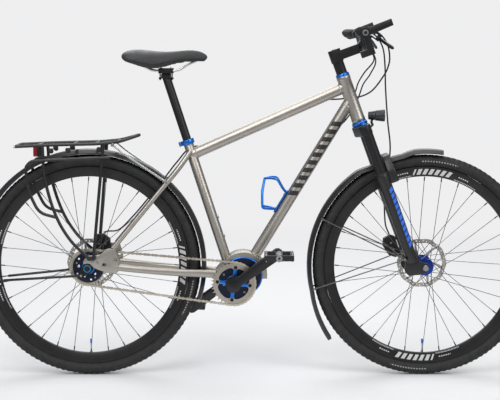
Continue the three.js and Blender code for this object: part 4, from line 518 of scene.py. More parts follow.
def done(obj, name, finish, body, *nodes, slot=None, angle=38):
    """Names a finished piece, smooths it, gives it its finish, hangs it under the empty of the body it rides on
    and hides the CAD nodes it stands for.

    A list of objects becomes one piece. The body is a name, or else two names and two points, and then the piece
    is only baked where it stands, under no body. The slot, given or taken from the finish, is not used.
    """
    if isinstance(obj, list):
        obj = join(*obj)
    slot = slot or SLOTS[finish]
    obj.name = name
    obj.data.name = name
    only(obj)
    bpy.ops.object.shade_smooth_by_angle(angle=radians(angle))
    obj.data.materials.append(FINISH[finish])
    if isinstance(body, str):
        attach(obj, body)
    else:
        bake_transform(obj)
    if nodes:
        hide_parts(*nodes)
    return obj


def casting(node, name, finish, body, bevel, slot=None, angle=38, segments=3):
    """A rounded copy of a CAD node as a finished piece."""
    return done(dressed(node, bevel, segments), name, finish, body, node, slot=slot, angle=angle)


# Finishes


class Nodes:
    """A material's node tree with short calls for the nodes these finishes need."""

    def __init__(self, name):
        self.material = bpy.data.materials.new(name)
        self.material.use_nodes = True
        self.tree = self.material.node_tree
        self.shader = self.tree.nodes["Principled BSDF"]
        self.place = self.add("TexCoord").outputs["Object"]

    def feed(self, socket, value):
        """Links a node's output to the socket, or sets the socket's value."""
        if isinstance(value, bpy.types.NodeSocket):
            self.tree.links.new(value, socket)
        else:
            socket.default_value = (*value, 1) if socket.type == "RGBA" else value

    def add(self, kind, inputs=(), **values):
        node = self.tree.nodes.new("ShaderNode" + kind)
        for key, value in values.items():
            setattr(node, key, value)
        for key, value in dict(inputs).items():
            self.feed(node.inputs[key], value)
        return node

    def math(self, operation, *values):
        return self.add("Math", enumerate(values), operation=operation).outputs[0]

    def times(self, first, *others):
        for other in others:
            first = self.math("MULTIPLY", first, other)
        return first

    def plus(self, a, b):
        return self.math("ADD", a, b)

    def minus(self, a, b):
        return self.math("SUBTRACT", a, b)

    def below(self, value, limit):
        return self.math("LESS_THAN", value, limit)

    def above(self, value, limit):
        return self.math("GREATER_THAN", value, limit)

    def within(self, value, low, high):
        return self.times(self.above(value, low), self.below(value, high))

    def dashes(self, value, count, share):
        return self.below(self.math("FRACT", self.times(value, count)), share)

    def far(self, a, b):
        return self.math("SQRT", self.plus(self.times(a, a), self.times(b, b)))

    def split(self, vector):
        return self.add("SeparateXYZ", {0: vector}).outputs

    def mapped(self, location, rotation=(0, 0, 0)):
        inputs = {"Vector": self.place, "Location": location, "Rotation": rotation}
        return self.split(self.add("Mapping", inputs).outputs["Vector"])

    def along_axis(self, up, origin):
        """Coordinates along a slanted axis, toward the left and across it."""
        lean = atan2(up.z, up.x)
        return self.mapped(-(Matrix.Rotation(lean, 4, "Y") @ origin), (0, lean, 0))

    def round_axle(self, axle):
        """Radius from an axle, and the share of a turn round it."""
        x, _, z = self.mapped(-axle)
        return self.far(x, z), self.math("DIVIDE", self.math("ARCTAN2", z, x), tau)

    def noise(self, scale, detail, vector=None):
        inputs = {"Vector": vector or self.place, "Scale": scale, "Detail": detail, "Roughness": 0.55}
        return self.add("TexNoise", inputs).outputs["Fac"]

    def spread(self, value, low, high, start=0.3, end=0.7):
        inputs = {"Value": value, "From Min": start, "From Max": end, "To Min": low, "To Max": high}
        return self.add("MapRange", inputs).outputs["Result"]

    def mix(self, share, first, second):
        return self.add("Mix", {0: share, 6: first, 7: second}, data_type="RGBA").outputs[2]

    def mottled(self, noise, dark, light):
        return self.mix(self.spread(noise, 0, 1), dark, light)

    def made(self, color, rough, height=None, strength=0, distance=0.0005, **values):
        """The material with its colour, gloss, relief and other values."""
        if height:
            inputs = {"Strength": strength, "Distance": distance, "Height": height}
            values["Normal"] = self.add("Bump", inputs).outputs["Normal"]
        values.update(Base_Color=color, Roughness=rough)
        for key, value in values.items():
            self.feed(self.shader.inputs[key.replace("_", " ")], value)
        return self.material


def shade(color, share):
    return tuple(min(1.0, c * share) for c in color)


def plain(name, color, rough, metal=0.0, scale=900, bump=0.08, vary=0.12, coat=0.0):
    """A finish with a fine grain, slow colour change and uneven gloss."""
    n = Nodes(name)
    fine = n.noise(scale, 4)
    base = n.mottled(n.noise(14, 3), shade(color, 1 - vary), shade(color, 1 + vary))
    return n.made(base, n.spread(fine, rough - 0.06, rough + 0.06), fine, bump, Metallic=metal, Coat_Weight=coat,
                  Coat_Roughness=0.15)


def bars(n, along, across, start, end, pitch, slant, half_height, share):
    """A mask of equal slanted bars along a strip."""
    moved = n.plus(along, n.times(across, slant))
    step = n.math("FRACT", n.math("DIVIDE", n.minus(moved, start), pitch))
    strip = n.below(n.math("ABSOLUTE", across), half_height)
    return n.times(n.below(step, share), strip, n.within(moved, start, end))


def titanium_finish(name, color):
    """Brushed bare titanium, with plain dark bars on the down tube's right side."""
    n = Nodes(name)
    fine = n.noise(240, 2)
    base = n.mottled(n.noise(22, 4), shade(color, 0.95), shade(color, 1.05))
    x, y, z = n.along_axis(DOWN_TUBE_UP, GEARBOX_UPPER)
    mask = n.times(bars(n, x, z, 0.3, 0.575, 0.0285, 0.5, 0.0125, 0.58), n.below(y, 0))
    return n.made(n.mix(mask, base, (0.02, 0.02, 0.02)), n.spread(fine, 0.38, 0.43), fine, 0.02, 0.0002,
                  Metallic=n.minus(1.0, n.times(mask, 0.9)))


def from_mark(n, turn, mark):
    """How far a point is from the nearer of two opposite marks, in half turns, with its sign."""
    return n.minus(n.math("FRACT", n.plus(n.times(n.minus(turn, mark), 2), 0.5)), 0.5)


def tyre_finish(name, axle, mark):
    """Matt tyre rubber with a ribbed, slightly dusty flank and a short row of plain pale dashes."""
    n = Nodes(name)
    radius, turn = n.round_axle(axle)
    fine = n.noise(1400, 3)
    base = n.mottled(n.noise(60, 4), (0.009, 0.009, 0.009), (0.022, 0.0215, 0.021))
    half = from_mark(n, turn, mark)
    row = n.times(n.within(half, -0.055, 0.055), n.within(radius, 0.3325, 0.3365), n.dashes(half, 120, 0.55))
    ribs = n.math("SINE", n.times(turn, 240 * tau))
    height = n.plus(n.times(ribs, n.below(radius, 0.345), 0.5), fine)
    return n.made(n.mix(row, base, (0.3, 0.3, 0.29)), n.spread(fine, 0.6, 0.85), height, 0.25, 0.0004)


def rim_finish(name, axle, mark):
    """Black anodised rim with two opposite groups of plain pale bars and ticks on its flanks."""
    n = Nodes(name)
    radius, turn = n.round_axle(axle)
    fine = n.noise(1800, 3)
    base = n.mottled(n.noise(30, 3), (0.008, 0.0075, 0.0075), (0.015, 0.014, 0.0135))
    half = from_mark(n, turn, mark)
    away = n.math("ABSOLUTE", half)
    leaned = n.plus(half, n.times(n.minus(radius, 0.3), 0.5))
    mask = None
    for place, low, high, inner, outer, count, share in (
            (away, 0.075, 0.16, 0.2878, 0.2912, 190, 0.5), (away, 0.085, 0.125, 0.2995, 0.303, 130, 0.6),
            (leaned, -0.066, 0.066, 0.2915, 0.3095, 50, 0.62)):
        marks = n.dashes(leaned if place is leaned else half, count, share)
        group = n.times(n.within(place, low, high), n.within(radius, inner, outer), marks)
        mask = n.math("MAXIMUM", mask, group) if mask else group
    return n.made(n.mix(mask, base, (0.62, 0.62, 0.62)), n.spread(fine, 0.3, 0.42), fine, 0.05, 0.0002,
                  Metallic=0.2)


def brushed_round(name, axle, color, rough=0.3):
    """Metal brushed in circles about an axle."""
    n = Nodes(name)
    radius, turn = n.round_axle(axle)
    rings = n.add("CombineXYZ", {0: n.times(radius, 90), 1: n.times(turn, 3)})
    fine = n.noise(30, 4, rings.outputs[0])
    return n.made(n.mottled(fine, shade(color, 0.8), shade(color, 1.1)), n.spread(fine, rough - 0.08, rough + 0.1),
                  fine, 0.12, 0.0003, Metallic=1.0)


def fork_finish(name, color, accent):
    """Satin black fork coating with a row of plain accent bars down each leg's outer flank."""
    n = Nodes(name)
    fine = n.noise(1300, 3)
    base = n.mottled(n.noise(18, 3), shade(color, 0.85), shade(color, 1.2))
    x, y, z = n.along_axis(STEER_UP, steer(19, 0, 0))
    mask = n.times(bars(n, x, z, 0.085, 0.285, 0.0182, 0.6, 0.0058, 0.74), n.above(n.math("ABSOLUTE", y), 0.07))
    return n.made(n.mix(mask, base, accent), n.spread(fine, 0.34, 0.46), fine, 0.06, 0.0003, Coat_Weight=0.15,
                  Coat_Roughness=0.3)


def cover_finish(name, color):
    """Saddle cover: a pebbled grain, a little sheen and slow wear."""
    n = Nodes(name)
    cells = n.add("TexVoronoi", {"Scale": 900, "Vector": n.place}, feature="F1")
    slow = n.noise(26, 4)
    return n.made(n.mottled(slow, shade(color, 0.75), shade(color, 1.5)), n.spread(slow, 0.42, 0.6),
                  cells.outputs["Distance"], 0.35, 0.0006, Sheen_Weight=0.15, Sheen_Roughness=0.5)


def lens_finish(name, color, rough, scale):
    """A clear or tinted lamp lens with moulded flutes."""
    n = Nodes(name)
    flutes = n.add("TexWave", {"Scale": scale, "Vector": n.place}).outputs["Fac"]
    return n.made(n.mix(flutes, shade(color, 0.8), color), rough, flutes, 0.3, 0.0006, Transmission_Weight=0.35,
                  IOR=1.5)


FINISH = {}
SLOTS = {finish: slot for slot, finishes in {
    "titanium": "titanium",
    "blue_anodised": "blue blue_dark bright_blue",
    "black_aluminium": "black_aluminium black_textured crank carrier spoke front_rim rear_rim",
    "bright_steel": "bolt steel steel_satin ring_steel front_rotor rear_rotor clear",
    "black_paint": "black_paint fork",
    "black_plastic": "fender black_plastic cap lamp_body red",
    "black_rubber": "rubber hose",
    "saddle_cover": "cover thread",
    "chain_steel": "chain",
    "tyre_rubber": "front_tyre rear_tyre",
}.items() for finish in finishes.split()}


def make_finishes(finishes):
    black, accent = tuple(finishes.black), tuple(finishes.accent)
    FINISH.update(
        titanium=titanium_finish("brushed titanium with bars", tuple(finishes.titanium)),
        blue=plain("bright blue anodised", accent, 0.3, 0.85, 1600, 0.04, 0.1),
        bright_blue=plain("pale blue anodised", (0.03, 0.42, 0.85), 0.3, 0.5, 1600, 0.04, 0.1),
        blue_dark=plain("deep blue anodised", tuple(finishes.hub), 0.28, 0.85, 1600, 0.04),
        black_paint=plain("satin black coating", black, 0.42, 0.0, 1100, 0.05, coat=0.15),
        black_aluminium=plain("satin black aluminium", shade(black, 1.4), 0.4, 0.35, 1500, 0.05),
        black_plastic=plain("moulded black plastic", shade(black, 1.2), 0.48, 0.0, 700, 0.12),
        fender=plain("satin black fender", shade(black, 1.3), 0.36, 0.0, 900, 0.04, coat=0.2),
        rubber=plain("black grip rubber", shade(black, 0.9), 0.72, 0.0, 1000, 0.25),
        hose=plain("black hose jacket", shade(black, 1.1), 0.4, 0.0, 600, 0.05),
        steel=plain("bright stainless steel", (0.6, 0.6, 0.59), 0.24, 1.0, 1500, 0.04, 0.05),
        steel_satin=plain("satin silver aluminium", (0.42, 0.42, 0.43), 0.36, 0.9, 1200, 0.05),
        black_textured=plain("textured black aluminium", shade(black, 1.3), 0.5, 0.3, 420, 0.22),
        crank=plain("hard black anodised crank", shade(black, 1.2), 0.3, 0.4, 1500, 0.04, coat=0.3),
        thread=plain("dark grey thread", (0.06, 0.06, 0.062), 0.7, 0.0, 1500, 0.2),
        cap=plain("pale moulded cap", (0.55, 0.54, 0.5), 0.5, 0.0, 700, 0.1),
        lamp_body=plain("dark lamp aluminium", (0.06, 0.06, 0.065), 0.35, 0.7, 1200, 0.06),
        ring_steel=plain("ground drive steel", (0.46, 0.42, 0.36), 0.36, 1.0, 700, 0.08, 0.15),
        chain=plain("oiled chain steel", (0.6, 0.54, 0.45), 0.34, 1.0, 500, 0.1, 0.2),
        carrier=plain("near-black blue anodised", (0.006, 0.011, 0.03), 0.34, 0.5, 1200, 0.04),
        bolt=plain("bolt steel", (0.42, 0.42, 0.42), 0.3, 1.0, 900, 0.05),
        spoke=plain("dark stainless spoke", (0.14, 0.14, 0.14), 0.3, 0.9, 900, 0.03),
        fork=fork_finish("satin black fork coating", shade(black, 1.15), (0.03, 0.16, 0.75)),
        cover=cover_finish("pebbled saddle cover", tuple(finishes.saddle)),
        clear=lens_finish("clear lamp lens", (0.85, 0.87, 0.9), 0.08, 90),
        red=lens_finish("red lamp lens", (0.6, 0.01, 0.01), 0.12, 120),
    )
    for wheel, axle, tyre_mark, rim_mark in (("front", FRONT_AXLE, 82 / 360, 85 / 360),
                                             ("rear", REAR_AXLE, 0.95, 0.0)):
        FINISH[wheel + "_tyre"] = tyre_finish(wheel + " tyre rubber", axle, tyre_mark)
        FINISH[wheel + "_rim"] = rim_finish(wheel + " rim coating", axle, rim_mark)
        FINISH[wheel + "_rotor"] = brushed_round(wheel + " rotor steel", axle, (0.55, 0.52, 0.47))


# Frame


def steerer_cutter():
    return rod(steer(0, 0, 500), steer(0, 0, 660), 0.0215, 32)


def post_cutter():
    return rod(seat(0, 0, 300), seat(0, 0, 500), 0.0155, 32)


def gearbox_outline(radius, steps):
    """Round both shafts of the gearbox, wider by 7 round the upper one."""
    return belt(0, 0, radius, SHAFT_X, SHAFT_Z, radius + 7, steps)


def gearbox_cutter():
    return side_plate(gearbox_outline(55.3, 28), CRANK_AXIS, 0.06, 0.12)


def crank_cutter(radius):
    return rod(CRANK_AXIS - LEFT * 0.06, CRANK_AXIS + LEFT * 0.06, radius, 32)


def weld(point, axis, radius):
    """A ring of weld ripples round a tube."""
    return turned([(radius - 0.6, -1.8), (radius + 0.6, -1.3), (radius + 1.1, 0), (radius + 0.6, 1.3),
                   (radius - 0.6, 1.8)], point, axis, 40)


def dropout(side):
    """A flat dropout plate with a window and the rack stay's hole."""
    shares = [(-0.13, 0.19), (-0.1, 0.36), (0.02, 0.53), (0.35, 0.56), (0.54, 0.82), (0.78, 0.8), (0.87, 0.33),
              (0.885, -0.05), (0.82, -0.19), (0.6, -0.18), (0.38, -0.1), (0.17, 0.03), (0.08, 0.15), (-0.02, 0.17)]
    top = 0.0738 if side > 0 else -0.0678
    body = side_plate(softened([(x * 114, z * 77) for x, z in shares], 5), REAR_AXLE, top, 0.006, 0.0012)
    window = softened([(47, 7), (62, 7), (60, 17), (47, 17)], 5)
    return carve(body, side_plate(window, REAR_AXLE, side * 0.0708 + 0.015, 0.03),
                 rod(at(88, side * 60, 383), at(88, side * 80, 383), 0.0062, 24))


def fender_eyelet(side):
    """The dark lug that holds the axle's end and the fender stay's bolt."""
    top = 0.0737 if side > 0 else -0.0679
    eyelet = side_plate(belt(0, 0, 17, -20, -22, 8, 10), REAR_AXLE, top, 0.006, 0.0012)
    return carve(eyelet, rod(at(0, side * 60, WHEEL_RADIUS), at(0, side * 80, WHEEL_RADIUS), 0.0064, 24))


def chainstay(side):
    """A flattened stay from the dropout to the gearbox."""
    stations = ((0, 66, 9, 11), (0.18, 63.5, 9.6, 11), (0.35, 60, 10, 11), (0.5, 55.4, 9.7, 11.5), (0.66, 48, 9, 12),
                (0.75, 43.2, 8, 12.3), (0.83, 39, 7, 12.5), (1, 36.5, 7, 12.5))
    rings = []
    for share, spread, wide, high in stations:
        centre = at(90 + 313.34 * share, side * spread, 358 - 27 * share - 3 * sin(share * pi))
        rings.append([centre + (LEFT * wide * cos(t) + UP * high * sin(t)) * MM for t in turns(20)])
    return loft(rings)


def frame_tubes(settings):
    """The welded frame: tubes, casting over the gearbox, stays, dropouts, welds and bottle bosses."""
    top, down, upright = settings.top_tube_radius, settings.down_tube_radius, settings.seat_tube_radius
    head = turned([(18.2, 0), (21.6, 0), (22, 0.6), (22, 9), (21.3, 11), (21.3, 139), (22, 141), (22, 149.4),
                   (21.6, 150), (18.2, 150)], HEAD_TUBE_LOW, STEER_UP)
    wide, bore = upright / MM, 13.95
    seat_tube = turned([(bore, 478), (wide - 0.4, 478), (wide, 477.4), (wide, 0), (0, 0), (0, 228), (bore, 228)],
                       CRANK_AXIS, SEAT_UP, 40)
    low = block(CRANK_AXIS + Vector((-0.13, -0.06, -0.13)), CRANK_AXIS + Vector((0.14, 0.06, 0.014)))
    parts = [head, carve(seat_tube, gearbox_cutter()),
             carve(rod(TOP_TUBE_REAR, TOP_TUBE_FRONT, top, 48), steerer_cutter(), post_cutter()),
             carve(rod(GEARBOX_UPPER, DOWN_TUBE_TOP, down, 48), steerer_cutter(), gearbox_cutter()),
             carve(side_plate(gearbox_outline(70, 28), CRANK_AXIS, 0.036, 0.072, 0.002, 3), gearbox_cutter(), low)]
    for point, axis, radius in ((TOP_TUBE_REAR + TOP_TUBE_ALONG * 0.0166, TOP_TUBE_ALONG, top),
                                (TOP_TUBE_FRONT - TOP_TUBE_ALONG * 0.0226, TOP_TUBE_ALONG, top),
                                (DOWN_TUBE_TOP - DOWN_TUBE_UP * 0.0246, DOWN_TUBE_UP, down),
                                (GEARBOX_UPPER + DOWN_TUBE_UP * 0.0775, DOWN_TUBE_UP, down),
                                (seat(0, 0, 73), SEAT_UP, upright)):
        parts.append(weld(point, axis, radius / MM))
    for side in (-1, 1):
        stay = [seat(0, side * 13, 440), at(287, side * 33, 668), at(218, side * 43.7, 584.7), at(80, side * 65, 418)]
        parts += [carve(tube(smooth_path(stay, 8), 0.0085, 20), post_cutter()), chainstay(side), dropout(side)]
        parts += [weld(at(x, side * 65, z), UP, 0.9) for x, z in ((80, 395), (108, 411))]
    parts.append(rod(at(266.3, -34, 643), at(266.3, 34, 643), 0.006, 24))
    for up in (150, 214):
        parts.append(turned([(0, 0), (6.5, 0), (6.2, 2.2), (4.6, 3.4), (0, 3.4)], seat(15.2, 0, up), SEAT_FORWARD, 20))
    return join(*parts)


class BICYCLE_OT_frame(bpy.types.Operator):
    """Build the titanium frame with its collar, headset cups and gearbox"""

    bl_idname = "bicycle.frame"
    bl_label = "Frame"

    def execute(self, context):
        body = "main_frame"
        done(frame_tubes(context.scene.bicycle_frame), "frame_tubes", "titanium", body, "frame")
        done([fender_eyelet(-1), fender_eyelet(1)], "axle_lugs", "black_aluminium", body)
        studs = [screw(at(x, side * 73.8, z), LEFT * side, 0.0042, 0.0022)
                 for side in (-1, 1) for x, z in ((15, 377), (32, 374), (70, 366))]
        done(studs, "dropout_bolts", "bolt", body)
        cup = turned([(17.2, 0.3), (21.2, 0.3), (21.5, 1), (21.5, 6.4), (20.6, 7.6), (20.6, 8.6), (19.4, 10),
                      (17.2, 10)], steer(0, 0, 654.4), STEER_UP, 40)
        done(cup, "headset_upper_cup", "blue", body, "headset_upper")
        cup = turned([(17.2, -13), (23.4, -13), (25, -11.6), (25, -5), (22.6, -2.6), (22.4, -0.3), (17.2, -0.3)],
                     HEAD_TUBE_LOW, STEER_UP, 40)
        done(cup, "headset_lower_cup", "blue", body, "headset_lower")
        casting("seat_collar", "seat_collar_ring", "blue", body, 0.001, segments=2)
        bolts = [screw(seat(-25, side * 4.5, up), LEFT * side, 0.0028, 0.0016) for side in (-1, 1) for up in (467, 474)]
        done(bolts, "seat_collar_bolts", "bolt", body)
        case = side_plate(gearbox_outline(55, 32), CRANK_AXIS, 0.04, 0.08, 0.003, 4)
        shell, bolts = [carve(case, crank_cutter(0.0126))], []
        for side in (-1, 1):
            out = LEFT * side
            shell.append(turned([(12.6, 38), (26, 38), (26, 40.4), (25.2, 41), (12.6, 41)], CRANK_AXIS, out))
            for turn in turns(8, tau / 16):
                spot = CRANK_AXIS + Vector((14.8 + 50 * cos(turn), 0, 11.5 + 43 * sin(turn))) * MM
                bolts.append(screw(spot + out * 0.0398, out, 0.0034, 0.0014))
        done(shell, "gearbox_shell", "blue", body, "gearbox")
        done(bolts, "gearbox_bolts", "bolt", body)
        covers = [side_plate(gearbox_outline(51, 32), CRANK_AXIS, y, 0.0008, 0.0003, 1) for y in (-0.04, 0.0408)]
        done([carve(cover, crank_cutter(0.0262)) for cover in covers], "gearbox_covers", "carrier", body)
        return {"FINISHED"}


# Rack and fenders


def rack_tubes(settings):
    """The rack's deck and side rails, struts, hoops and cross bars, and the lugs of its struts."""
    radius = settings.rack_tube_radius
    parts = []
    for side in (-1, 1):
        foot = at(20, side * 80.3, 388)
        deck = [at(x, side * 55, z) for x, z in ((-228, 738), (-121, 743), (37, 747), (101, 753))]
        rail = [at(x, side * y, z) for x, y, z in ((75, 64, 705), (-172, 64, 694), (-191, 64, 675), (-184, 67, 602),
                                                   (-150, 70, 531), (-96, 71, 517))]
        strut = [at(-138, side * 55, 742)]
        strut += [at(x, side * (55 + (742 - z) / 354 * 25.3), z) for x, z in ((-131, 640), (-95, 518), (-50, 443))]
        strut.append(at(6, side * 80.3, 388))
        for line in (rounded([*deck, at(160, side * 14, 771)], 0.02), rounded(rail, 0.028),
                     [at(53, side * 55, 748), foot], smooth_path(strut, 7)):
            parts.append(tube(line, radius))
        lug = belt(6, 388, 7, 20, 388, 7, 8)
        parts.append(side_plate(lug, at(0, 0, 0), 0.0841 if side > 0 else -0.0741, 0.01, 0.001))
    for x, z in ((-224, 738), (-150, 742), (-40, 745), (30, 747), (96, 752)):
        parts.append(tube([at(x, -55, z), at(x, 55, z)], radius))
    parts.append(tube([at(160, -14, 771), at(160, 14, 771)], radius))
    return join(*parts)


def fender(axle, stations):
    """A rolled fender through stations of angle, radius and half width, its edges turned down."""
    rings = []
    for angle, radius, half in stations:
        turn = radians(angle)
        out = Vector((cos(turn), 0, sin(turn)))
        outer, inner = [], []
        for k in range(13):
            across = -1 + k / 6
            drop = 12 * (max(0.0, abs(across) - 0.35) / 0.65) ** 1.8
            outer.append(axle + (out * (radius - drop) + LEFT * across * half) * MM)
            inner.append(axle + (out * (radius - drop - 2.5) + LEFT * across * (half - 0.6)) * MM)
        rings.append(outer + inner[::-1])
    return loft(rings)


def rear_stations():
    return [(-19 + 219 * k / 72, 372.8, 28) for k in range(73)]


def front_stations():
    """Along the front wheel, low under the fork's arch, then down its flared and narrowing flap."""
    made = []
    for k in range(39):
        angle = 81 + 112 * k / 38
        away = abs(angle - 110) / 15
        dip = 9.5 * min(1, 2.2 * (1 - away)) if away < 1 else 0
        made.append((angle, 373 - dip, 28))
    return made + [(193 + 26 * k / 8, 373 + 17 * k / 8, 28 - 13 * k / 8) for k in range(1, 9)]


def fender_stay(prefix, body, finish, side, name, bolt, axle, angles):
    """A fender's wires on one side with their sleeves, and the bolt that holds them."""
    rods = [turned([(0, -3.3), (5.4, -3.3), (6, -2.6), (6, 2.6), (5.4, 3.3), (0, 3.3)], bolt, LEFT, 20)]
    for turn in map(radians, angles):
        end = axle + Vector((363 * cos(turn), side * 30.3, 363 * sin(turn))) * MM
        inward = (bolt - end).normalized()
        rods += [tube([bolt, end], 0.002, 12), rod(end + inward * 0.018, end, 0.0029, 14)]
        if prefix == "rear":
            rods.append(turned([(0, 0), (3.4, 0), (4, 1), (4, 236), (3.4, 237), (0, 237)], end + inward * 0.09,
                               inward, 20))
    done(rods, prefix + "_stay_wire_" + name, finish, body, prefix + "_fender_stay_" + name, slot="black_paint")
    done(screw(bolt + LEFT * side * 0.0032, LEFT * side, 0.0036, 0.0016), prefix + "_stay_bolt_" + name, "bolt", body)


class BICYCLE_OT_rack(bpy.types.Operator):
    """Build the tubular rear rack and its two steel stays"""

    bl_idname = "bicycle.rack"
    bl_label = "Rear rack"

    def execute(self, context):
        body = "main_frame"
        done(rack_tubes(context.scene.bicycle_frame), "rack_tubes", "black_paint", body, "rear_rack")
        caps = [turned([(0, 0), (5.1, 0), (5.2, 1), (5.2, 5), (0, 5)], at(-228.4, side * 55, 738), Vector((107, 0, 5)),
                       16) for side in (-1, 1)]
        done(caps, "rack_end_caps", "cap", body)
        clip = softened([(-7, 0), (7, 0), (9, -12), (4, -17), (-5, -15), (-9, -7)], 3)
        clips = [side_plate(clip, at(x, 0, z), (side * 55 + 2.5) * MM, 0.005, 0.0007)
                 for x, z in ((-112, 733), (-58, 734.5), (40, 737)) for side in (-1, 1)]
        done(clips, "rack_brackets", "black_plastic", body)
        for side, name in SIDES:
            low, bend, high = at(245, side * 49.6, 629), at(112, side * 60, 719), at(82, side * 62.8, 744)
            rods = [tube(rounded([low, bend, high], 0.02), 0.003, 12)]
            for spot in (low, high):
                rods.append(turned([(0, -2.5), (4.9, -2.5), (5.4, -2), (5.4, 2), (4.9, 2.5), (0, 2.5)], spot, LEFT, 20))
                rods.append(screw(spot + LEFT * side * 0.0024, LEFT * side, 0.0032, 0.0012))
            done(rods, "rack_stay_rod_" + name, "steel", body, "rack_stay_" + name)
        return {"FINISHED"}


class BICYCLE_OT_fenders(bpy.types.Operator):
    """Build both fenders with their stays, clips and flap"""

    bl_idname = "bicycle.fenders"
    bl_label = "Fenders"

    def execute(self, context):
        rear, front = fender(REAR_AXLE, rear_stations()), fender(FRONT_AXLE, front_stations())
        done(rear, "rear_fender_shell", "fender", "main_frame", "rear_fender", angle=50)
        done(front, "front_fender_shell", "fender", "fork_slider", "front_fender", angle=50)
        for side, name in SIDES:
            rear, front = at(-20, side * 77.4, 333), steer(-14, side * 78.6, 51)
            fender_stay("rear", "main_frame", "black_paint", side, name, rear, REAR_AXLE, (188,))
            fender_stay("front", "fork_slider", "spoke", side, name, front, FRONT_AXLE, (155, 192))
        return {"FINISHED"}


# Saddle and seatpost


VOXEL = 0.0042
PRESSURE = 4
CLOTH_STEPS = 20
FACING_DOWN = -0.25


def padded_cover(node, swell):
    """A cover swelled by a short cloth simulation with its underside held, no point moving further than swell."""
    pad = dressed(node, 0)
    modify(pad, "SUBSURF", levels=3, render_levels=3)
    modify(pad, "REMESH", mode="VOXEL", voxel_size=VOXEL)
    points = pad.data.vertices
    rest = [vertex.co.copy() for vertex in points]
    held = pad.vertex_groups.new(name="underside")
    held.add([vertex.index for vertex in points if vertex.normal.z < FACING_DOWN], 1.0, "REPLACE")
    only(pad)
    bpy.ops.object.modifier_add(type="CLOTH")
    cloth = pad.modifiers[-1]
    cloth.settings.use_pressure = True
    cloth.settings.uniform_pressure_force = PRESSURE
    cloth.settings.vertex_group_mass = held.name
    cloth.settings.effector_weights.gravity = 0
    for k in range(1, CLOTH_STEPS + 1):
        bpy.context.scene.frame_set(k)
    bpy.ops.object.modifier_apply(modifier=cloth.name)
    for vertex, start in zip(pad.data.vertices, rest):
        moved = vertex.co - start
        if moved.length > swell:
            vertex.co = start + moved.normalized() * swell
    bpy.context.scene.frame_set(1)
    return modify(pad, "SUBSURF", levels=1, render_levels=1)


def widest_line(obj, side, proud):
    """The line along a side of a piece where it is widest, from rear to front, a little outside the skin."""
    points = [vertex.co.copy() for vertex in obj.data.vertices]
    low, high = min(p.x for p in points) + 0.008, max(p.x for p in points) - 0.006
    count = 48
    best = {}
    for point in points:
        k = round((point.x - low) / (high - low) * count)
        if 0 <= k <= count and (k not in best or point.y * side > best[k].y * side):
            best[k] = point
    line = [best[k] for k in sorted(best)]
    for _ in range(3):
        line = [line[0]] + [(a + b * 2 + c) / 4 for a, b, c in zip(line, line[1:], line[2:])] + [line[-1]]
    return [point + LEFT * side * proud for point in line]


class BICYCLE_OT_saddle(bpy.types.Operator):
    """Build the padded saddle, its seam, rails and clamp, and the seatpost"""

    bl_idname = "bicycle.saddle"
    bl_label = "Saddle and seatpost"

    def execute(self, context):
        body = "seat"
        pad = padded_cover("saddle", 0.0025)
        done(pad, "saddle_pad", "cover", body, "saddle", angle=60)
        seams, stitches = [], []
        for side in (-1, 1):
            line = widest_line(pad, side, 0.0003)[::3]
            seams.append(tube(smooth_path(line, 4), 0.0009, 8))
            spots = smooth_path(line, 9)
            for here, ahead in zip(spots[4:-4:3], spots[5:-3:3]):
                along = (ahead - here).normalized()
                out = LEFT * side
                out = (out - along * out.dot(along)).normalized()
                stitches.append(basis(along, out.cross(along) * -1, out, here + UP * 0.004 - out * 0.0002))
        done(seams, "saddle_seam", "rubber", body, slot="saddle_cover", angle=60)
        stitch = rod(AHEAD * -0.0018, AHEAD * 0.0018, 0.0006, 6)
        done(copies(stitch, stitches), "saddle_stitches", "thread", body)
        stations = ((150, 36, 1000.5), (178, 30, 989), (206, 22, 974), (288, 22, 974), (312, 14, 991), (340, 6, 1003.5))
        rails = [tube(rounded([at(x, side * y, z) for x, y, z in stations], 0.014), 0.0035) for side in (-1, 1)]
        rails.append(tube([at(340, -8, 1003.5), at(340, 8, 1003.5)], 0.0035))
        done(rails, "saddle_rail_wires", "steel", body, "saddle_rails")
        casting("saddle_clamp", "saddle_clamp_block", "black_aluminium", body, 0.0015)
        middle = seat(0, 0, 688).x
        bolts = [screw(Vector((middle + ahead * 0.015, 0, 0.9822)), UP, 0.0035, 0.002) for ahead in (-1, 1)]
        nuts = []
        for x in (middle - 0.019, middle + 0.019):
            bolts.append(rod(Vector((x, 0, 0.944)), Vector((x, 0, 0.972)), 0.0022, 16))
            nuts.append(turned([(2.1, 0), (4, 0), (4.6, 0.8), (4.6, 5.2), (4, 6), (2.1, 6)], Vector((x, 0, 0.947)), UP,
                               24))
        done(bolts, "saddle_clamp_bolts", "bolt", body)
        done(nuts, "saddle_clamp_nuts", "black_aluminium", body)
        post = turned([(0, 0), (13.6, 0), (13.6, 399), (12, 403), (0, 403)], seat(0, 0, 290), SEAT_UP, 40)
        head = block(Vector((middle - 0.0153, -0.018, 0.9497)), Vector((middle + 0.0153, 0.018, 0.9657)))
        modify(head, "BEVEL", width=0.004, segments=3)
        done([post, head], "seatpost_tube", "black_aluminium", body, "seatpost")
        return {"FINISHED"}


# Steering


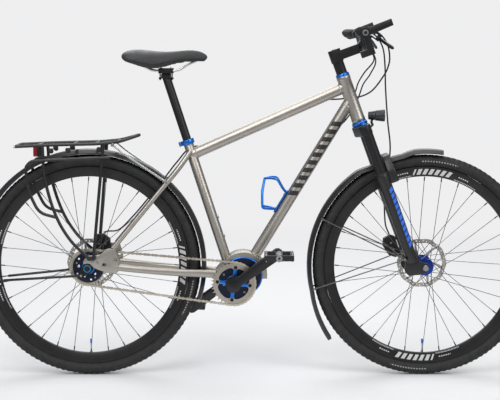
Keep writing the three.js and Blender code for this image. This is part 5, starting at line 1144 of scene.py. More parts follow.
class BICYCLE_OT_bars(bpy.types.Operator):
    """Build the stem, handlebar, grips, shifter and brake levers"""

    bl_idname = "bicycle.bars"
    bl_label = "Handlebar and controls"

    def execute(self, context):
        body = "steering"
        half = [-BAR_END, -250, -190, -150, -118, -104, -88, -70, -54, -40, -28, -20]
        path, shares = [], []
        for y in [*half, 0, *(-y for y in half[::-1])]:
            reach, radius = abs(y), BAR_RADIUS
            if reach >= BAR_BEND:
                path.append(bar_point(y))
            else:
                share = max(0.0, min(1.0, (reach - 34) / 76))
                ease = share * share * (3 - 2 * share)
                path.append(steer(93 + 4 * ease, y, 720 + 42 * ease))
                radius += 4.8 * (1 - max(0.0, min(1.0, (reach - 25) / 60)))
            shares.append(radius / BAR_RADIUS)
        done(tube(path, BAR_RADIUS * MM, 24, shares), "handlebar_tube", "black_aluminium", body, "handlebar", angle=50)
        for node, finish, bevel in (
                ("stem", "black_textured", 0.0025), ("stem_faceplate", "steel_satin", 0.0012),
                ("shifter_housing", "black_plastic", 0.003), ("brake_body_right", "black_aluminium", 0.0008),
                ("brake_body_left", "black_aluminium", 0.0008), ("bar_end_right", "black_aluminium", 0.0014),
                ("bar_end_left", "black_aluminium", 0.0014)):
            slot = "black_aluminium" if finish == "steel_satin" else None
            casting(node, node + "_casting", finish, body, bevel, slot, 45)
        bolts = [screw(steer(106.6, y, 720 + up), STEER_FORWARD, 0.0035, 0.0025) for y in (-17, 17) for up in (-17, 17)]
        done([*bolts, screw(steer(0, 0, 742.2), STEER_UP, 0.006, 0.002)], "stem_bolts", "bolt", body)
        stack, low = [], 664.7
        for height in (10, 10, 10, 7):
            profile = [(15.2, 0), (17.1, 0), (17.5, 0.5), (17.5, height - 0.5), (17.1, height), (15.2, height)]
            stack.append(turned(profile, steer(0, 0, low), STEER_UP, 40))
            low += height + 0.1
        done(stack, "spacer_stack", "black_aluminium", body, "stem_spacers")
        for side, name in SIDES:
            grip = modify(dressed("grip_" + name, 0), "SUBSURF", levels=2, render_levels=2)
            done(grip, "grip_sleeve_" + name, "rubber", body, "grip_" + name, angle=60)
            end = bar_point(side * BAR_END)
            plug = turned([(0, 0.4), (10.4, 0.4), (10.6, 2), (9, 4.4), (5, 4.8), (4.4, 4), (0, 4)], end,
                          end - bar_point(side * 200), 32)
            done(plug, "bar_plug_" + name, "bolt", body)
            casting("brake_lever_" + name, "lever_blade_" + name, "black_aluminium", "lever_" + name, 0.0012, angle=50)
        casting("shifter_sleeve", "shifter_twist_grip", "rubber", "shifter", 0.0005, angle=20, segments=2)
        return {"FINISHED"}


def caliper(prefix, body, along):
    """A brake caliper and the pair of bolts that closes it, on both of its faces."""
    casting(prefix + "_caliper", prefix + "_caliper_body", "black_aluminium", body, 0.0018, angle=50)
    low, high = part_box(prefix + "_caliper")
    middle = (low + high) / 2
    bolts = []
    for side, y in ((-1, low.y), (1, high.y)):
        for shift in (-0.011, 0.011):
            spot = Vector((middle.x, y, middle.z)) + along * shift
            bolts.append(screw(spot - LEFT * side * 0.0004, LEFT * side, 0.0036, 0.002))
    done(bolts, prefix + "_caliper_bolts", "bolt", body)


class BICYCLE_OT_fork(bpy.types.Operator):
    """Build the suspension fork with its crown, legs, arch, axle and brake caliper"""

    bl_idname = "bicycle.fork"
    bl_label = "Suspension fork"

    def execute(self, context):
        shares = [(1, 0.22), (0.92, 0.5), (1.06, 0.86), (0.9, 1.2), (0.3, 1.32), (-0.4, 1.22), (-0.62, 0.9),
                  (-0.94, 0.5), (-1.1, 0.2)]
        crown_base = basis(STEER_FORWARD, LEFT, STEER_UP, steer(0, 0, 459.1))
        crown = plate(softened(mirrored([(x * 26, y * 65) for x, y in shares]), 9), 0.032, crown_base, 0.005, 4)
        parts = [crown, rod(steer(0, 0, 489), steer(0, 0, 738), 0.0143, 32)]
        parts += [rod(leg(side, 178), leg(side, 461), 0.017, 40) for side in (-1, 1)]
        done(parts, "fork_crown_stanchions", "black_aluminium", "steering", "fork_upper")
        for side, name, finish in ((-1, "right", "blue"), (1, "left", "black_aluminium")):
            dial = turned([(0, 0), (8.6, 0), (9, 0.8), (9, 3.6), (7.6, 5), (3, 5), (0, 4.4)], leg(side, 491), STEER_UP,
                          24)
            done(dial, "fork_dial_" + name, finish, "steering")
        body = "fork_slider"
        legs = []
        for side in (-1, 1):
            legs.append(turned([(0, 30), (13, 30), (17, 32), (18, 36), (18.4, 80), (19.4, 180), (20.6, 300), (21, 316),
                                (21, 325), (20, 328), (17.6, 328), (17.6, 96), (0, 96)], leg(side, 0), STEER_UP))
            points = [(-6, 66), (-10, 46), (-26, 12), (-18, -6), (17, -15), (40, -17), (57, 0), (52, 12), (40, 17),
                      (29, 30), (26, 66)]
            low, high = (50.3, 64) if side > 0 else (-64, -50.3)
            drop = plate(softened(points, 5), (high - low) * MM, steer_side(high), 0.002, 3)
            legs.append(carve(drop, rod(steer(40, low - 5, 0), steer(40, high + 5, 0), 0.0078, 28)))
            legs.append(rod(steer(-14, side * 62, 51), steer(-14, side * 75, 51), 0.006, 20))
            foot = softened([(side * 50, 292), (side * 72, 292), (side * 72, 322), (side * 50, 322)], 3)
            foot = plate(foot, 0.02, steer_front(12), 0.002, 2)
            legs.append(carve(foot, rod(leg(side, 250), leg(side, 340), 0.0176, 32)))
        legs += [rod(steer(-12.7, 49, up), steer(-7, 49, up), 0.006, 20) for up in (66, 104)]
        ring = [(50, 290), (73, 290), (73, 330), (58, 364), (40, 377.5)]
        ring = mirrored(ring, False) + [(-50, 330), (-32.5, 366), (32.5, 366), (50, 330)]
        legs.append(plate(softened(ring, 8), 0.026, steer_front(27), 0.004, 4))
        done(legs, "fork_lower_legs", "fork", body, "fork_lowers")
        wipers = [turned([(17.2, 0), (20.4, 0), (19.6, 3), (17.4, 4.6), (17.2, 4.6)], leg(side, 328.2), STEER_UP, 40)
                  for side in (-1, 1)]
        done(wipers, "fork_wiper_seals", "rubber", body)
        axle = turned([(0, -70.3), (8, -70.3), (9.5, -68.6), (9.5, -64.3), (7.5, -64.3), (7.5, 64.3), (5, 64.3),
                       (4.4, 62), (0, 62)], FRONT_AXLE, LEFT, 32)
        done(axle, "front_through_axle", "bolt", body, "front_axle")
        caliper("front", body, STEER_UP)
        return {"FINISHED"}


# Wheels

SPOKES = 32
HOLE_RADIUS, NIPPLE_RADIUS = 26, 284
TYRE_CENTRE, TYRE_HALF = 335.4, 18.1
KNOB_DEPTH, KNOB_SUNK = 3, 1.5
ROTOR_DEPTH = 0.0018


def tyre(settings, axle):
    """A tyre's casing with five rows of tread blocks."""
    half = settings.tyre_width / 2 / MM
    upper = [radians(a) for a in (10, 28, 46, 64, 84, 104, 128, 152)]
    profile = [(TYRE_CENTRE + TYRE_HALF * cos(t), (half - 0.2) * sin(t)) for t in [-t for t in upper[::-1]] + upper]
    parts = [turned([*profile, (317.4, 9.5), (317.4, -9.5)], axle, LEFT, settings.steps)]
    for row, (turn, wide, long, rise) in enumerate(((0, 7, 9, 0.9), (0.42, 6, 7, 0.9), (-0.42, 6, 7, 0.9),
                                                    (0.86, 5.4, 6, 1.0), (-0.86, 5.4, 6, 1.0))):
        size = Vector((long, wide, KNOB_DEPTH)) * MM
        knob = block(size / -2, size / 2)
        out = rise - KNOB_SUNK
        spot = Vector((0, (half - 0.4 + out) * sin(turn), TYRE_CENTRE + (TYRE_HALF + out) * cos(turn))) * MM
        spin = Matrix.Rotation(pi / settings.tread_rows * (row % 2), 4, "Y")
        lean = Matrix.Rotation(-turn, 4, "X")
        knob.data.transform(Matrix.Translation(axle) @ spin @ Matrix.Translation(spot) @ lean)
        parts.append(around(knob, axle, LEFT, settings.tread_rows))
    return parts


def laced(axle, flanges, radius):
    """The spokes, crossed three times, and their nipples."""
    wires, nipples = [], []
    step, repeats = tau / SPOKES, SPOKES // 4
    for flange, start in ((flanges[0], 0.0), (flanges[1], step)):
        for lead in (-1, 1):
            hole = start + (0 if lead > 0 else 2 * step)
            (near_x, near_z), (far_x, far_z) = polar(hole, HOLE_RADIUS), polar(hole + lead * 6 * step, NIPPLE_RADIUS)
            near = axle + Vector((near_x, flange + lead * 1.1, near_z)) * MM
            far = axle + Vector((far_x, copysign(2.4, flange) + lead * 1.1, far_z)) * MM
            inward = (near - far).normalized()
            away = LEFT * copysign(0.0016, flange) * (1 if lead * flange > 0 else 0.2)
            wire = tube([near + inward * 0.002 + away, near + away, far], radius, 8)
            wires.append(around(wire, axle, LEFT, repeats))
            nipples.append(around(rod(far + inward * 0.013, far, 0.0019, 8), axle, LEFT, repeats))
    return wires, nipples


def hub_shape(bore, right, left, flanges, plane, right_radius):
    """A hub's profile: a barrel between two flanges, the rotor's seat and the left end."""
    half, barrel, flange = 1.6, 15, 29
    face = plane - 1.2
    low, high = flanges

    def rim(y):
        return [(flange - 0.6, y - half), (flange, y - 1), (flange, y + 1), (flange - 0.6, y + half)]

    def waist(y, way):
        return [(barrel + 4, y + way), (barrel + 0.8, y + 3 * way), (barrel, y + 6 * way)]

    return [(bore, right), (right_radius - 0.6, right), (right_radius, right + 0.6), (right_radius, low - half - 2),
            *rim(low), *waist(low + half, 1), *waist(high - half, -1)[::-1], *rim(high), (22, high + half), (22, face),
            (17, face), (17, face + 4), (11, face + 4), (11, left - 0.6), (10.4, left), (bore, left)]


def rotor(prefix, body, axle, plane):
    """A wavy steel brake ring with slots and arms, and its carrier with a lock ring."""
    top = (plane + 0.9) * MM

    def flat(points, depth=ROTOR_DEPTH, rise=0.0, bevel=0.0):
        return side_plate(points, axle, top + rise, depth, bevel, 1)

    def cut(points):
        return flat(points, 0.01, 0.004)

    def waved(radius, wave):
        return [polar(t, radius + wave * cos(t * 10)) for t in turns(120)]

    slots = [cut(circle(1.9, 8, *polar(turn + shift, radius))) for turn in turns(10)
             for shift, radius in ((0.1, 70), (0.25, 73.5), (0.42, 70), (0.56, 73.5))]
    track = carve(flat(waved(78.8, 1.2)), cut(waved(65.4, 1.1)), join(*slots))
    arm = softened([(24, -4.2), (40, -6.5), (55, -11), (67, -19), (69, -14), (58, -5.5), (42, 0.5), (24, 4.2)], 4)
    ring = carve(flat(circle(27, 48)), cut(circle(17.5, 40)))
    done([track, around(flat(arm), axle, LEFT, 6), ring], prefix + "_rotor_disc", prefix + "_rotor", body,
         prefix + "_rotor")
    arm = softened([(18, -3.6), (32, -5.4), (50, -10), (58, -14), (60, -10), (50, -5.6), (34, 0.2), (18, 3.6)], 3)
    carrier = around(flat(arm, 0.0012, 0.0012, 0.0003), axle, LEFT, 6)
    lock = turned([(17.3, 0), (21.6, 0), (21.6, 1.6), (20.4, 2.6), (17.3, 2.6)], axle + LEFT * top, LEFT)
    done([carrier, lock], prefix + "_rotor_carrier", "blue", body)


class BICYCLE_OT_wheels(bpy.types.Operator):
    """Build both wheels: treaded tyres, rims, laced spokes, hubs and brake rotors"""

    bl_idname = "bicycle.wheels"
    bl_label = "Wheels"

    def execute(self, context):
        settings = context.scene.bicycle_wheels
        flank = [(285, -3.5), (285.6, -6), (290, -8), (303, -10.8), (313, -12.8), (317, -13), (317, -11.6),
                 (313, -11.2), (309, -7)]
        for prefix, axle, bore, right, left, flanges, plane, right_radius in (
                ("front", FRONT_AXLE, 8.1, -49.7, 49.7, (-34, 26), 40.2, 11),
                ("rear", REAR_AXLE, 6.6, -39.4, 67.3, (-33, 35), 51, 17)):
            body = prefix + "_wheel"
            done(tyre(settings, axle), prefix + "_tyre_tread", prefix + "_tyre", body, prefix + "_tyre", angle=40)
            profile = [*flank, (307, 0), *((r, -y) for r, y in flank[::-1])]
            done(turned(profile, axle, LEFT, settings.steps), prefix + "_rim_ring", prefix + "_rim", body,
                 prefix + "_rim")
            stem = turned([(0, 241), (2.2, 241), (2.6, 242), (2.6, 250), (2.2, 251), (2.2, 280), (4.4, 280),
                           (4.4, 284.4), (2.6, 285), (2.6, 300), (0, 300)], axle, -UP, 16)
            done(stem, prefix + "_valve_stem", "steel", body)
            cap = turned([(0, 241), (2.6, 241), (3.3, 243), (3.3, 255), (2.4, 256), (0, 256)], axle, -UP, 12)
            done(cap, prefix + "_valve_cap", "blue", body)
            wires, nipples = laced(axle, flanges, settings.spoke_radius)
            done(wires, prefix + "_spokes", "spoke", body, prefix + "_hub")
            done(nipples, prefix + "_nipples", "black_aluminium", body)
            shell = turned(hub_shape(bore, right, left, flanges, plane, right_radius), axle, LEFT)
            done(shell, prefix + "_hub_shell", "blue_dark", body, prefix + "_hub")
            rotor(prefix, body, axle, plane)
        return {"FINISHED"}


# Drive

PITCH = 12.7
LINK_DEPTH = 0.00095
COG_DEPTH = 0.0024
LINKS = 104
RING_TEETH = 34
COG_TEETH = 28
CHAIN_LINE = -47
DRIVE_DISTANCE = 463.38444
DRIVE_LEAN = asin(53 / DRIVE_DISTANCE)
DRIVE_AHEAD = Vector((cos(DRIVE_LEAN), 0, -sin(DRIVE_LEAN)))
DRIVE_UP = Vector((sin(DRIVE_LEAN), 0, cos(DRIVE_LEAN)))


def pitch_radius(teeth):
    """Radius of the circle through the pins of a toothed wheel."""
    return PITCH / (2 * sin(pi / teeth))


RING_RADIUS, COG_RADIUS = pitch_radius(RING_TEETH), pitch_radius(COG_TEETH)
CHAIN_LEAN = asin((RING_RADIUS - COG_RADIUS) / DRIVE_DISTANCE)


def drive(x, z, y=CHAIN_LINE):
    return REAR_AXLE + (DRIVE_AHEAD * x + DRIVE_UP * z + LEFT * y) * MM


def drive_plate(points, x, y, depth, bevel=0, segments=2):
    """A plate drawn in the plane of the drive about the axle at x, from the side plane at y toward the right."""
    return plate(points, depth, basis(DRIVE_AHEAD, DRIVE_UP, -LEFT, drive(x, 0, y)), bevel, segments)


def drive_cutter(points, x):
    return drive_plate(points, x, CHAIN_LINE + 8, 0.02)


def chain_spot(s):
    """The point at a length along the chain's path round both toothed wheels, in the plane of the drive."""
    run = sqrt(DRIVE_DISTANCE**2 - (RING_RADIUS - COG_RADIUS) ** 2)
    front, rear = RING_RADIUS * (pi + 2 * CHAIN_LEAN), COG_RADIUS * (pi - 2 * CHAIN_LEAN)
    top = pi / 2 + CHAIN_LEAN
    s %= front + rear + 2 * run
    if s < front:
        x, z = polar(s / RING_RADIUS - top, RING_RADIUS)
        return DRIVE_DISTANCE + x, z
    s -= front
    if s < run:
        x, z = polar(top, RING_RADIUS)
        return DRIVE_DISTANCE + x - s * cos(CHAIN_LEAN), z - s * sin(CHAIN_LEAN)
    s -= run
    if s < rear:
        return polar(top + s / COG_RADIUS, COG_RADIUS)
    s -= rear
    x, z = polar(-top, COG_RADIUS)
    return x + s * cos(CHAIN_LEAN), z - s * sin(CHAIN_LEAN)


def chain_pins():
    """The chain's pins, one pitch apart along its path."""
    pins, travel = [], 0.0
    for _ in range(LINKS):
        here = chain_spot(travel)
        pins.append(here)
        low, high = PITCH, PITCH * 1.1
        for _ in range(40):
            middle = (low + high) / 2
            ahead = chain_spot(travel + middle)
            if hypot(ahead[0] - here[0], ahead[1] - here[1]) < PITCH:
                low = middle
            else:
                high = middle
        travel += high
    return pins


def chain_piece():
    """Narrow inner and wide outer links with their pins and rollers."""
    pins = chain_pins()
    spots = {"outer": [], "inner": [], "roller": []}
    for k, (ax, az) in enumerate(pins):
        bx, bz = pins[(k + 1) % LINKS]
        turn = atan2(bz - az, bx - ax)
        along = DRIVE_AHEAD * cos(turn) + DRIVE_UP * sin(turn)
        up = -DRIVE_AHEAD * sin(turn) + DRIVE_UP * cos(turn)
        kind, offset = ("outer", 3.7) if k % 2 else ("inner", 2.6)
        for top in (0.95 - offset, offset):
            spots[kind].append(basis(along, up, -LEFT, drive(ax, az, CHAIN_LINE + top)))
        spots["roller"].append(basis(along, up, -LEFT, drive(ax, az)))
    pin = turned([(0, -4), (1.5, -4), (1.8, -3.6), (1.8, -1.7), (3.0, -1.6), (3.0, 1.6), (1.8, 1.7), (1.8, 3.6),
                  (1.5, 4), (0, 4)], Vector((0, 0, 0)), UP, 8)
    parts = []
    for kind, high in (("outer", 4.0), ("inner", 3.4)):
        upper = [(-high * 0.7, high * 0.7), (0, high), (3, high * 0.86), (PITCH / 2, high * 0.62), (9.7, high * 0.86),
                 (PITCH, high), (PITCH + high * 0.7, high * 0.7)]
        lower = [(x, -z) for x, z in upper[::-1]]
        link = plate([(-high, 0), *upper, (PITCH + high, 0), *lower], LINK_DEPTH, Matrix.Identity(4))
        parts.append(copies(link, spots[kind]))
    return [*parts, copies(pin, spots["roller"])]


def teeth_outline(teeth, start):
    """Rounded teeth and valleys in a circle, a valley at the start angle."""
    radius, step = pitch_radius(teeth), tau / teeth
    tooth = ((0.1, -4.2), (0.24, -3.3), (0.36, -0.6), (0.44, 2.6), (0.5, 3.7), (0.56, 2.6), (0.64, -0.6),
             (0.76, -3.3), (0.9, -4.2))
    return [polar(start + (k + share) * step, radius + height) for k in range(teeth) for share, height in tooth]


def chainring(body):
    """The chainring's teeth, its spider, and its bolts with the hub."""
    teeth = teeth_outline(RING_TEETH, -pi / 2 - CHAIN_LEAN)
    ring = drive_plate(teeth, DRIVE_DISTANCE, CHAIN_LINE + 1.2, COG_DEPTH, 0.0003, 1)
    window = [polar(t, 51.5 - 6.5 * max(0.0, cos(4 * t)) ** 3) for t in turns(96)]
    done(carve(ring, drive_cutter(window, DRIVE_DISTANCE)), "chainring_teeth", "ring_steel", body, "chainring")
    outline_points = softened([(22, -8), (36, -5.5), (50, -7), (57.5, -5), (57.5, 5), (50, 7), (36, 5.5), (22, 8)], 4)
    base = basis(DRIVE_AHEAD, DRIVE_UP, -LEFT, drive(DRIVE_DISTANCE, 0, CHAIN_LINE + 5))
    arms = [plate(outline_points, 0.0036, base @ Matrix.Rotation(t, 4, "Z"), 0.0006) for t in turns(4)]
    done(arms, "chainring_spider", "blue", body)
    bolts = [turned([(0, 0), (5.8, 0), (5.8, 0.8), (5, 1.3), (2.8, 1.3), (2.5, 0.3), (0, 0.3)],
                    drive(DRIVE_DISTANCE + 52 * cos(t), 52 * sin(t), CHAIN_LINE - 1.2), -LEFT, 20) for t in turns(4)]
    hub = turned([(12.7, 49.4), (24, 49.4), (25.5, 48.6), (25.5, 42), (24, 41.6), (12.7, 41.6)],
                 drive(DRIVE_DISTANCE, 0, 0), -LEFT)
    done([*bolts, hub], "chainring_bolts", "black_aluminium", body)


def sprocket(body):
    """The sprocket's teeth, carrier, sleeve, lock ring and studs."""
    rearmost = min(chain_pins(), key=lambda pin: pin[0])
    teeth = teeth_outline(COG_TEETH, atan2(rearmost[1], rearmost[0]))
    cog = drive_plate(teeth, 0, CHAIN_LINE + 1.2, COG_DEPTH, 0.0003, 1)
    done(carve(cog, drive_cutter(circle(46.5, 72), 0)), "sprocket_teeth", "ring_steel", body, "sprocket")
    carrier = drive_plate(circle(49.5, 72), 0, CHAIN_LINE + 1.7, 0.0034, 0.0005)
    holes = [drive_cutter(circle(16, 32), 0)]
    for k, t in enumerate(turns(10)):
        spot, radius = (30, 4.6) if k % 2 else (40, 3.2)
        holes.append(drive_cutter(circle(radius, 24, *polar(t, spot)), 0))
    done(carve(carrier, join(*holes)), "sprocket_carrier", "carrier", body)
    sleeve = turned([(6.6, -67.2), (12, -67.2), (13, -66.4), (13, -58), (16.4, -55), (17, -52), (17, -40.6),
                     (16.4, -40), (6.6, -40)], REAR_AXLE, LEFT)
    done(sleeve, "sprocket_sleeve", "black_aluminium", body)
    lock = turned([(17.1, -50.4), (19.4, -50.4), (20.2, -49.8), (20.2, -48.3), (17.1, -48.3)], REAR_AXLE, LEFT)
    done(lock, "sprocket_lock_ring", "blue", body)
    studs = [screw(drive(*polar(t, 39), CHAIN_LINE - 1.7), -LEFT, 0.003, 0.0014) for t in turns(5, 0.3 * tau / 5)]
    done(studs, "sprocket_studs", "bolt", body)


BOSS_REACH, WIDENING_REACH, WIDENING = 0.024, 0.012, 0.28


def crank(side, name, turn):
    """A crank arm, widened past its boss, with its bolt and its pedal."""
    out = LEFT * side
    arm = dressed("crank_" + name, 0.0012)
    along = Vector((cos(turn), 0, sin(turn)))
    across = Vector((-along.z, 0, along.x))
    for vertex in arm.data.vertices:
        reach = (vertex.co - CRANK_AXIS).dot(along)
        if reach > BOSS_REACH:
            wide = WIDENING * min(1.0, (reach - BOSS_REACH) / WIDENING_REACH)
            vertex.co += across * (vertex.co - CRANK_AXIS).dot(across) * wide
    done(arm, "crank_arm_" + name, "crank", "cranks", "crank_" + name, angle=50)
    cap = turned([(0, 0), (8.5, 0), (9, 0.5), (9, 1), (5.5, 1.3), (4.6, 0.4), (0, 0.4)], CRANK_AXIS + out * 0.085, out,
                 32)
    done(cap, "crank_bolt_" + name, "black_aluminium", "cranks")
    body = "pedal_%s_body" % name
    casting("pedal_" + name, "pedal_cage_" + name, "black_plastic", body, 0.0022, angle=50)
    centre = CRANK_AXIS + along * CRANK_LENGTH
    barrel = turned([(0, 104), (11.3, 104), (11.3, 178), (10.4, 179), (10.4, 189.6), (9.4, 190.4), (4, 190.4),
                     (3.4, 188), (0, 188)], centre, out, 32)
    done(barrel, "pedal_barrel_" + name, "steel_satin", body)
    pins = [turned([(0, 0), (2, 0), (2, 2.2), (1.4, 3), (0, 3)], centre + Vector((x, side * y, up * 8.2)) * MM, UP * up,
                   10) for x in (-40, 40) for y in (98, 119, 141, 163, 184) for up in (-1, 1)]
    done(pins, "pedal_pins_" + name, "steel", body)


class BICYCLE_OT_drive(bpy.types.Operator):
    """Build the chain, chainring, sprocket, cranks and platform pedals, and the rear axle and brake caliper"""

    bl_idname = "bicycle.drive"
    bl_label = "Drive"

    def execute(self, context):
        done(chain_piece(), "chain_links", "chain", "main_frame", "chain", angle=30)
        chainring("chainring_body")
        sprocket("sprocket_body")
        axle = turned([(0, -79.8), (4, -79.8), (4.6, -80.1), (12, -80.1), (13, -79), (13, -74.1), (6, -74.1), (6, 74.1),
                       (13, 74.1), (13, 79), (12, 80.1), (0, 80.1)], REAR_AXLE, LEFT, 36)
        done(axle, "rear_through_axle", "black_aluminium", "main_frame", "rear_axle")
        rings = [turned([(9.6, 80), (11.4, 80), (11.2, 80.6), (9.8, 80.6)], REAR_AXLE, LEFT * side, 36)
                 for side in (-1, 1)]
        done(rings, "rear_axle_rings", "bright_blue", "main_frame")
        caliper("rear", "main_frame", AHEAD)
        crank(-1, "right", CRANK_ANGLE)
        crank(1, "left", CRANK_ANGLE + pi)
        return {"FINISHED"}


# Cables, lamps and bottle cage


def line_piece(points, radius, name, node, to_body, start, end):
    """A hose or cable run from the steering to another body; the body and the two points are not used."""
    done(tube(smooth_path(points, 8), radius, 14), name, "hose", ("steering", to_body, at(*start), at(*end)), node,
         angle=60)


class BICYCLE_OT_cables(bpy.types.Operator):
    """Run the brake hoses and shift cables along their clips"""

    bl_idname = "bicycle.cables"
    bl_label = "Hoses and cables"

    def execute(self, context):
        radius = context.scene.bicycle_frame.hose_radius
        off = 20.3
        rear = [at(*p) for p in ((888.5, -111, 1097), (897, -101, 1096), (918, -92, 1082), (936, -92, 1053),
                                 (943, -84, 1012), (940, -58, 984), (933, -30, 963), (897, 12, 910), (866, 25.5, 893),
                                 (836, 27, 888), (796, 25, 884))]
        rear += [top_tube(share, off * left, off * below) for share, left, below in
                 ((0.82, 0.98, 0.4), (0.6, 0.75, 0.75), (0.35, 0.75, 0.75), (0.14, 0.98, 0.4))]
        rear += [at(*p) for p in ((326, 24.5, 731), (277, 38, 681), (240.5, 40, 634.5), (131.5, 57, 502.5),
                                  (84, 62, 459), (52, 58, 456), (38, 57, 452))]
        line_piece(rear, radius, "rear_hose_line", "rear_brake_hose", "main_frame", (940, 0, 1010), (796, 0, 884))
        front = [at(*p) for p in ((888.5, 111, 1097), (897, 101, 1096), (920, 96, 1080), (940, 104, 1045),
                                  (948, 110, 990), (950, 105, 920), (957, 92, 810), (966, 91, 717), (950, 92, 600),
                                  (950, 82, 500), (952, 64, 472), (961, 47, 448))]
        line_piece(front, radius, "front_hose_line", "front_brake_hose", "fork_slider", (966, 0, 717), (950, 0, 500))
        for name, off, start in (
                ("upper", 5, ((881, -152, 1036), (889, -150, 1012), (865, -90, 970), (852, -10, 935), (846, 31, 905),
                              (826, 33, 868), (798, 26, 826))),
                ("lower", -5, ((883, -158, 1036), (893, -158, 1008), (884, -90, 967), (868, -5, 930), (860, 33, 897),
                               (846, 37, 862), (812, 26, 812)))):
            points = [at(*p) for p in start] + [down_tube(up, off, 20.2) for up in (540, 440, 330, 230, 79)]
            line_piece(points, 0.0022, "shift_line_" + name, "shift_cable_" + name, "main_frame", (880, 0, 1010),
                       (812, 0, 850))
        return {"FINISHED"}


class BICYCLE_OT_lamps(bpy.types.Operator):
    """Build the headlight, the rear light and the bottle cage"""

    bl_idname = "bicycle.lamps"
    bl_label = "Lamps and bottle cage"

    def execute(self, context):
        back = at(886, 0, 833)
        barrel = turned([(0, 0), (10.5, 0), (12.6, 1.6), (13.4, 10), (12.2, 10.4), (12.2, 12), (14, 12.4), (15.2, 20),
                         (13.6, 20.4), (13.6, 22), (16, 22.4), (18, 38), (18.8, 44), (19, 46), (19, 51.2), (18.4, 52),
                         (16.8, 52), (16.4, 48), (0, 46)], back, AHEAD)
        foot, knee = steer(29.6, 0, 475.1), at(899, 0, 824)
        bracket = [foot, foot + STEER_FORWARD * 0.006 + UP * 0.004, (foot + knee) / 2, knee]
        bracket = tube(smooth_path(bracket), 0.004, 14)
        done([barrel, bracket], "headlight_barrel", "lamp_body", "steering", "headlight")
        lens = turned([(0, 46.4), (16.2, 48), (16.4, 50.4), (10, 51.4), (0, 51.8)], back, AHEAD, 40)
        done(lens, "headlight_lens", "clear", "steering")
        casting("rear_light", "rear_light_case", "black_plastic", "main_frame", 0.004, segments=4)
        low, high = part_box("rear_light")
        _, wide, tall = (high - low) / 2 / MM + Vector((0, 0.3, 0.3))
        corners = [(-wide, -tall), (wide, -tall), (wide, tall), (-wide, tall)]
        lens = plate(softened(corners, 5), 0.012, basis(LEFT, UP, AHEAD, Vector((low.x, 0, (low.z + high.z) / 2))),
                     0.002, 3)
        done(lens, "rear_light_lens", "red", "main_frame")
        loops = (((234, 22, 5), (226, 40, 24), (217, 61, 36), (258, 86, 24), (299, 102, 0)),
                 ((297, 22, 5), (303, 38, 24), (320, 68, 37), (312, 86, 22), (299, 102, 0)))
        wires = [tube(rounded([down_tube(up, off, side * y) for up, off, y in loop], 0.008), 0.0038, 14)
                 for side in (-1, 1) for loop in loops]
        strap = plate(softened([(222, -9), (304, -9), (304, 9), (222, 9)], 5), 0.004,
                      basis(DOWN_TUBE_UP, LEFT, -DOWN_TUBE_OFF, down_tube(0, 22.3, 0)), 0.001)
        done([*wires, strap], "bottle_cage_wire", "blue", "main_frame", "bottle_cage", angle=60)
        bolts = [screw(down_tube(up, 22.2, 0), DOWN_TUBE_OFF, 0.004, 0.0025) for up in (238, 288)]
        done(bolts, "bottle_cage_bolts", "bolt", "main_frame")
        return {"FINISHED"}


# Stage

FLOOR_RADIUS = 4
FLOOR_FADES = 1.0, 3.6
CAMERA_TARGET = Vector((-0.01225, 0, 0.564))
CAMERA_LENS = 97.2
LAMP_TARGET = Vector((0, 0, 0.5))
LAMPS = (((-1.6, -3.2, 3.4), 2.6, 90), ((2.6, -2.4, 2.6), 1.8, 45), ((0, 2.6, 3.0), 3.0, 70),
         ((0, -0.5, 3.8), 3.2, 62))


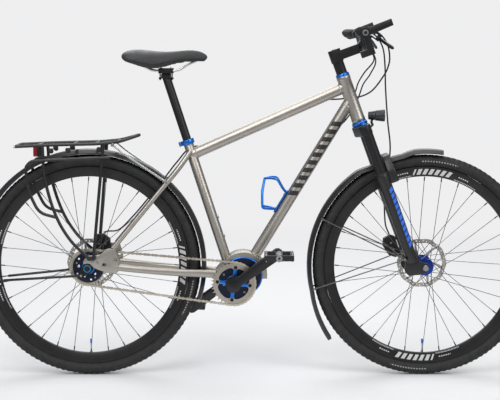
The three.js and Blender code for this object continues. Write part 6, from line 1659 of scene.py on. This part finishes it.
class BICYCLE_OT_stage(bpy.types.Operator):
    """Set the pale floor, the soft lights and the camera"""

    bl_idname = "bicycle.stage"
    bl_label = "Stage"

    def execute(self, context):
        settings = context.scene.bicycle_stage
        scene = context.scene
        scene.view_settings.view_transform = "Standard"
        fresh()
        bpy.ops.mesh.primitive_circle_add(vertices=64, radius=FLOOR_RADIUS, fill_type="NGON")
        floor = bpy.context.active_object
        floor.name = "floor"
        n = Nodes("pale floor")
        x, y, _ = n.split(n.place)
        color = n.mottled(n.noise(3, 3), shade(settings.floor, 0.985), shade(settings.floor, 1.0))
        floor.data.materials.append(n.made(color, 0.9, Alpha=n.spread(n.far(x, y), 1, 0, *FLOOR_FADES)))
        world = bpy.data.worlds.new("studio")
        world.use_nodes = True
        tree = world.node_tree
        path = tree.nodes.new("ShaderNodeLightPath")
        seen = tree.nodes.new("ShaderNodeBackground")
        seen.inputs["Color"].default_value = (0.86, 0.86, 0.87, 1)
        mix = tree.nodes.new("ShaderNodeMixShader")
        soft = tree.nodes["Background"]
        soft.inputs["Color"].default_value = (0.9, 0.93, 1.0, 1)
        soft.inputs["Strength"].default_value = 0.3
        for k, output in enumerate((path.outputs["Is Camera Ray"], soft.outputs[0], seen.outputs[0])):
            tree.links.new(output, mix.inputs[k])
        tree.links.new(mix.outputs[0], tree.nodes["World Output"].inputs["Surface"])
        scene.world = world
        for place, size, power in LAMPS:
            bpy.ops.object.light_add(type="AREA", location=place)
            lamp = bpy.context.active_object
            lamp.data.size = size
            lamp.data.energy = power
            lamp.rotation_mode = "QUATERNION"
            lamp.rotation_quaternion = (LAMP_TARGET - Vector(place)).to_track_quat("-Z", "Y")
        back = Vector((0, -cos(settings.camera_pitch), sin(settings.camera_pitch)))
        bpy.ops.object.camera_add(location=CAMERA_TARGET + back * settings.camera_distance)
        camera = bpy.context.active_object
        camera.data.lens = CAMERA_LENS
        camera.rotation_mode = "QUATERNION"
        camera.rotation_quaternion = (-back).to_track_quat("-Z", "Y")
        camera.data.clip_end = 100
        scene.camera = camera
        return {"FINISHED"}


class BICYCLE_PT_pieces(bpy.types.Panel):
    bl_idname = "BICYCLE_PT_pieces"
    bl_label = "Touring bicycle"
    bl_space_type = "VIEW_3D"
    bl_region_type = "UI"
    bl_category = "Bicycle"

    def draw(self, context):
        for operator in OPERATORS:
            self.layout.operator(operator.bl_idname)
        for name, group in GROUPS:
            for prop in group.bl_rna.properties:
                if prop.identifier not in ("rna_type", "name"):
                    self.layout.prop(getattr(context.scene, name), prop.identifier)


OPERATORS = (BICYCLE_OT_frame, BICYCLE_OT_rack, BICYCLE_OT_fenders, BICYCLE_OT_saddle, BICYCLE_OT_bars,
             BICYCLE_OT_fork, BICYCLE_OT_wheels, BICYCLE_OT_drive, BICYCLE_OT_cables, BICYCLE_OT_lamps,
             BICYCLE_OT_stage)


def register():
    for name, group in GROUPS:
        bpy.utils.register_class(group)
        setattr(bpy.types.Scene, name, PointerProperty(type=group))
    for kind in (*OPERATORS, BICYCLE_PT_pieces):
        bpy.utils.register_class(kind)


def unregister():
    for kind in (BICYCLE_PT_pieces, *reversed(OPERATORS)):
        bpy.utils.unregister_class(kind)
    for name, group in reversed(GROUPS):
        delattr(bpy.types.Scene, name)
        bpy.utils.unregister_class(group)


def main():
    register()
    make_finishes(bpy.context.scene.bicycle_finishes)
    for operator in OPERATORS:
        getattr(bpy.ops.bicycle, operator.bl_idname.split(".")[1])()


if __name__ == "__main__":
    main()
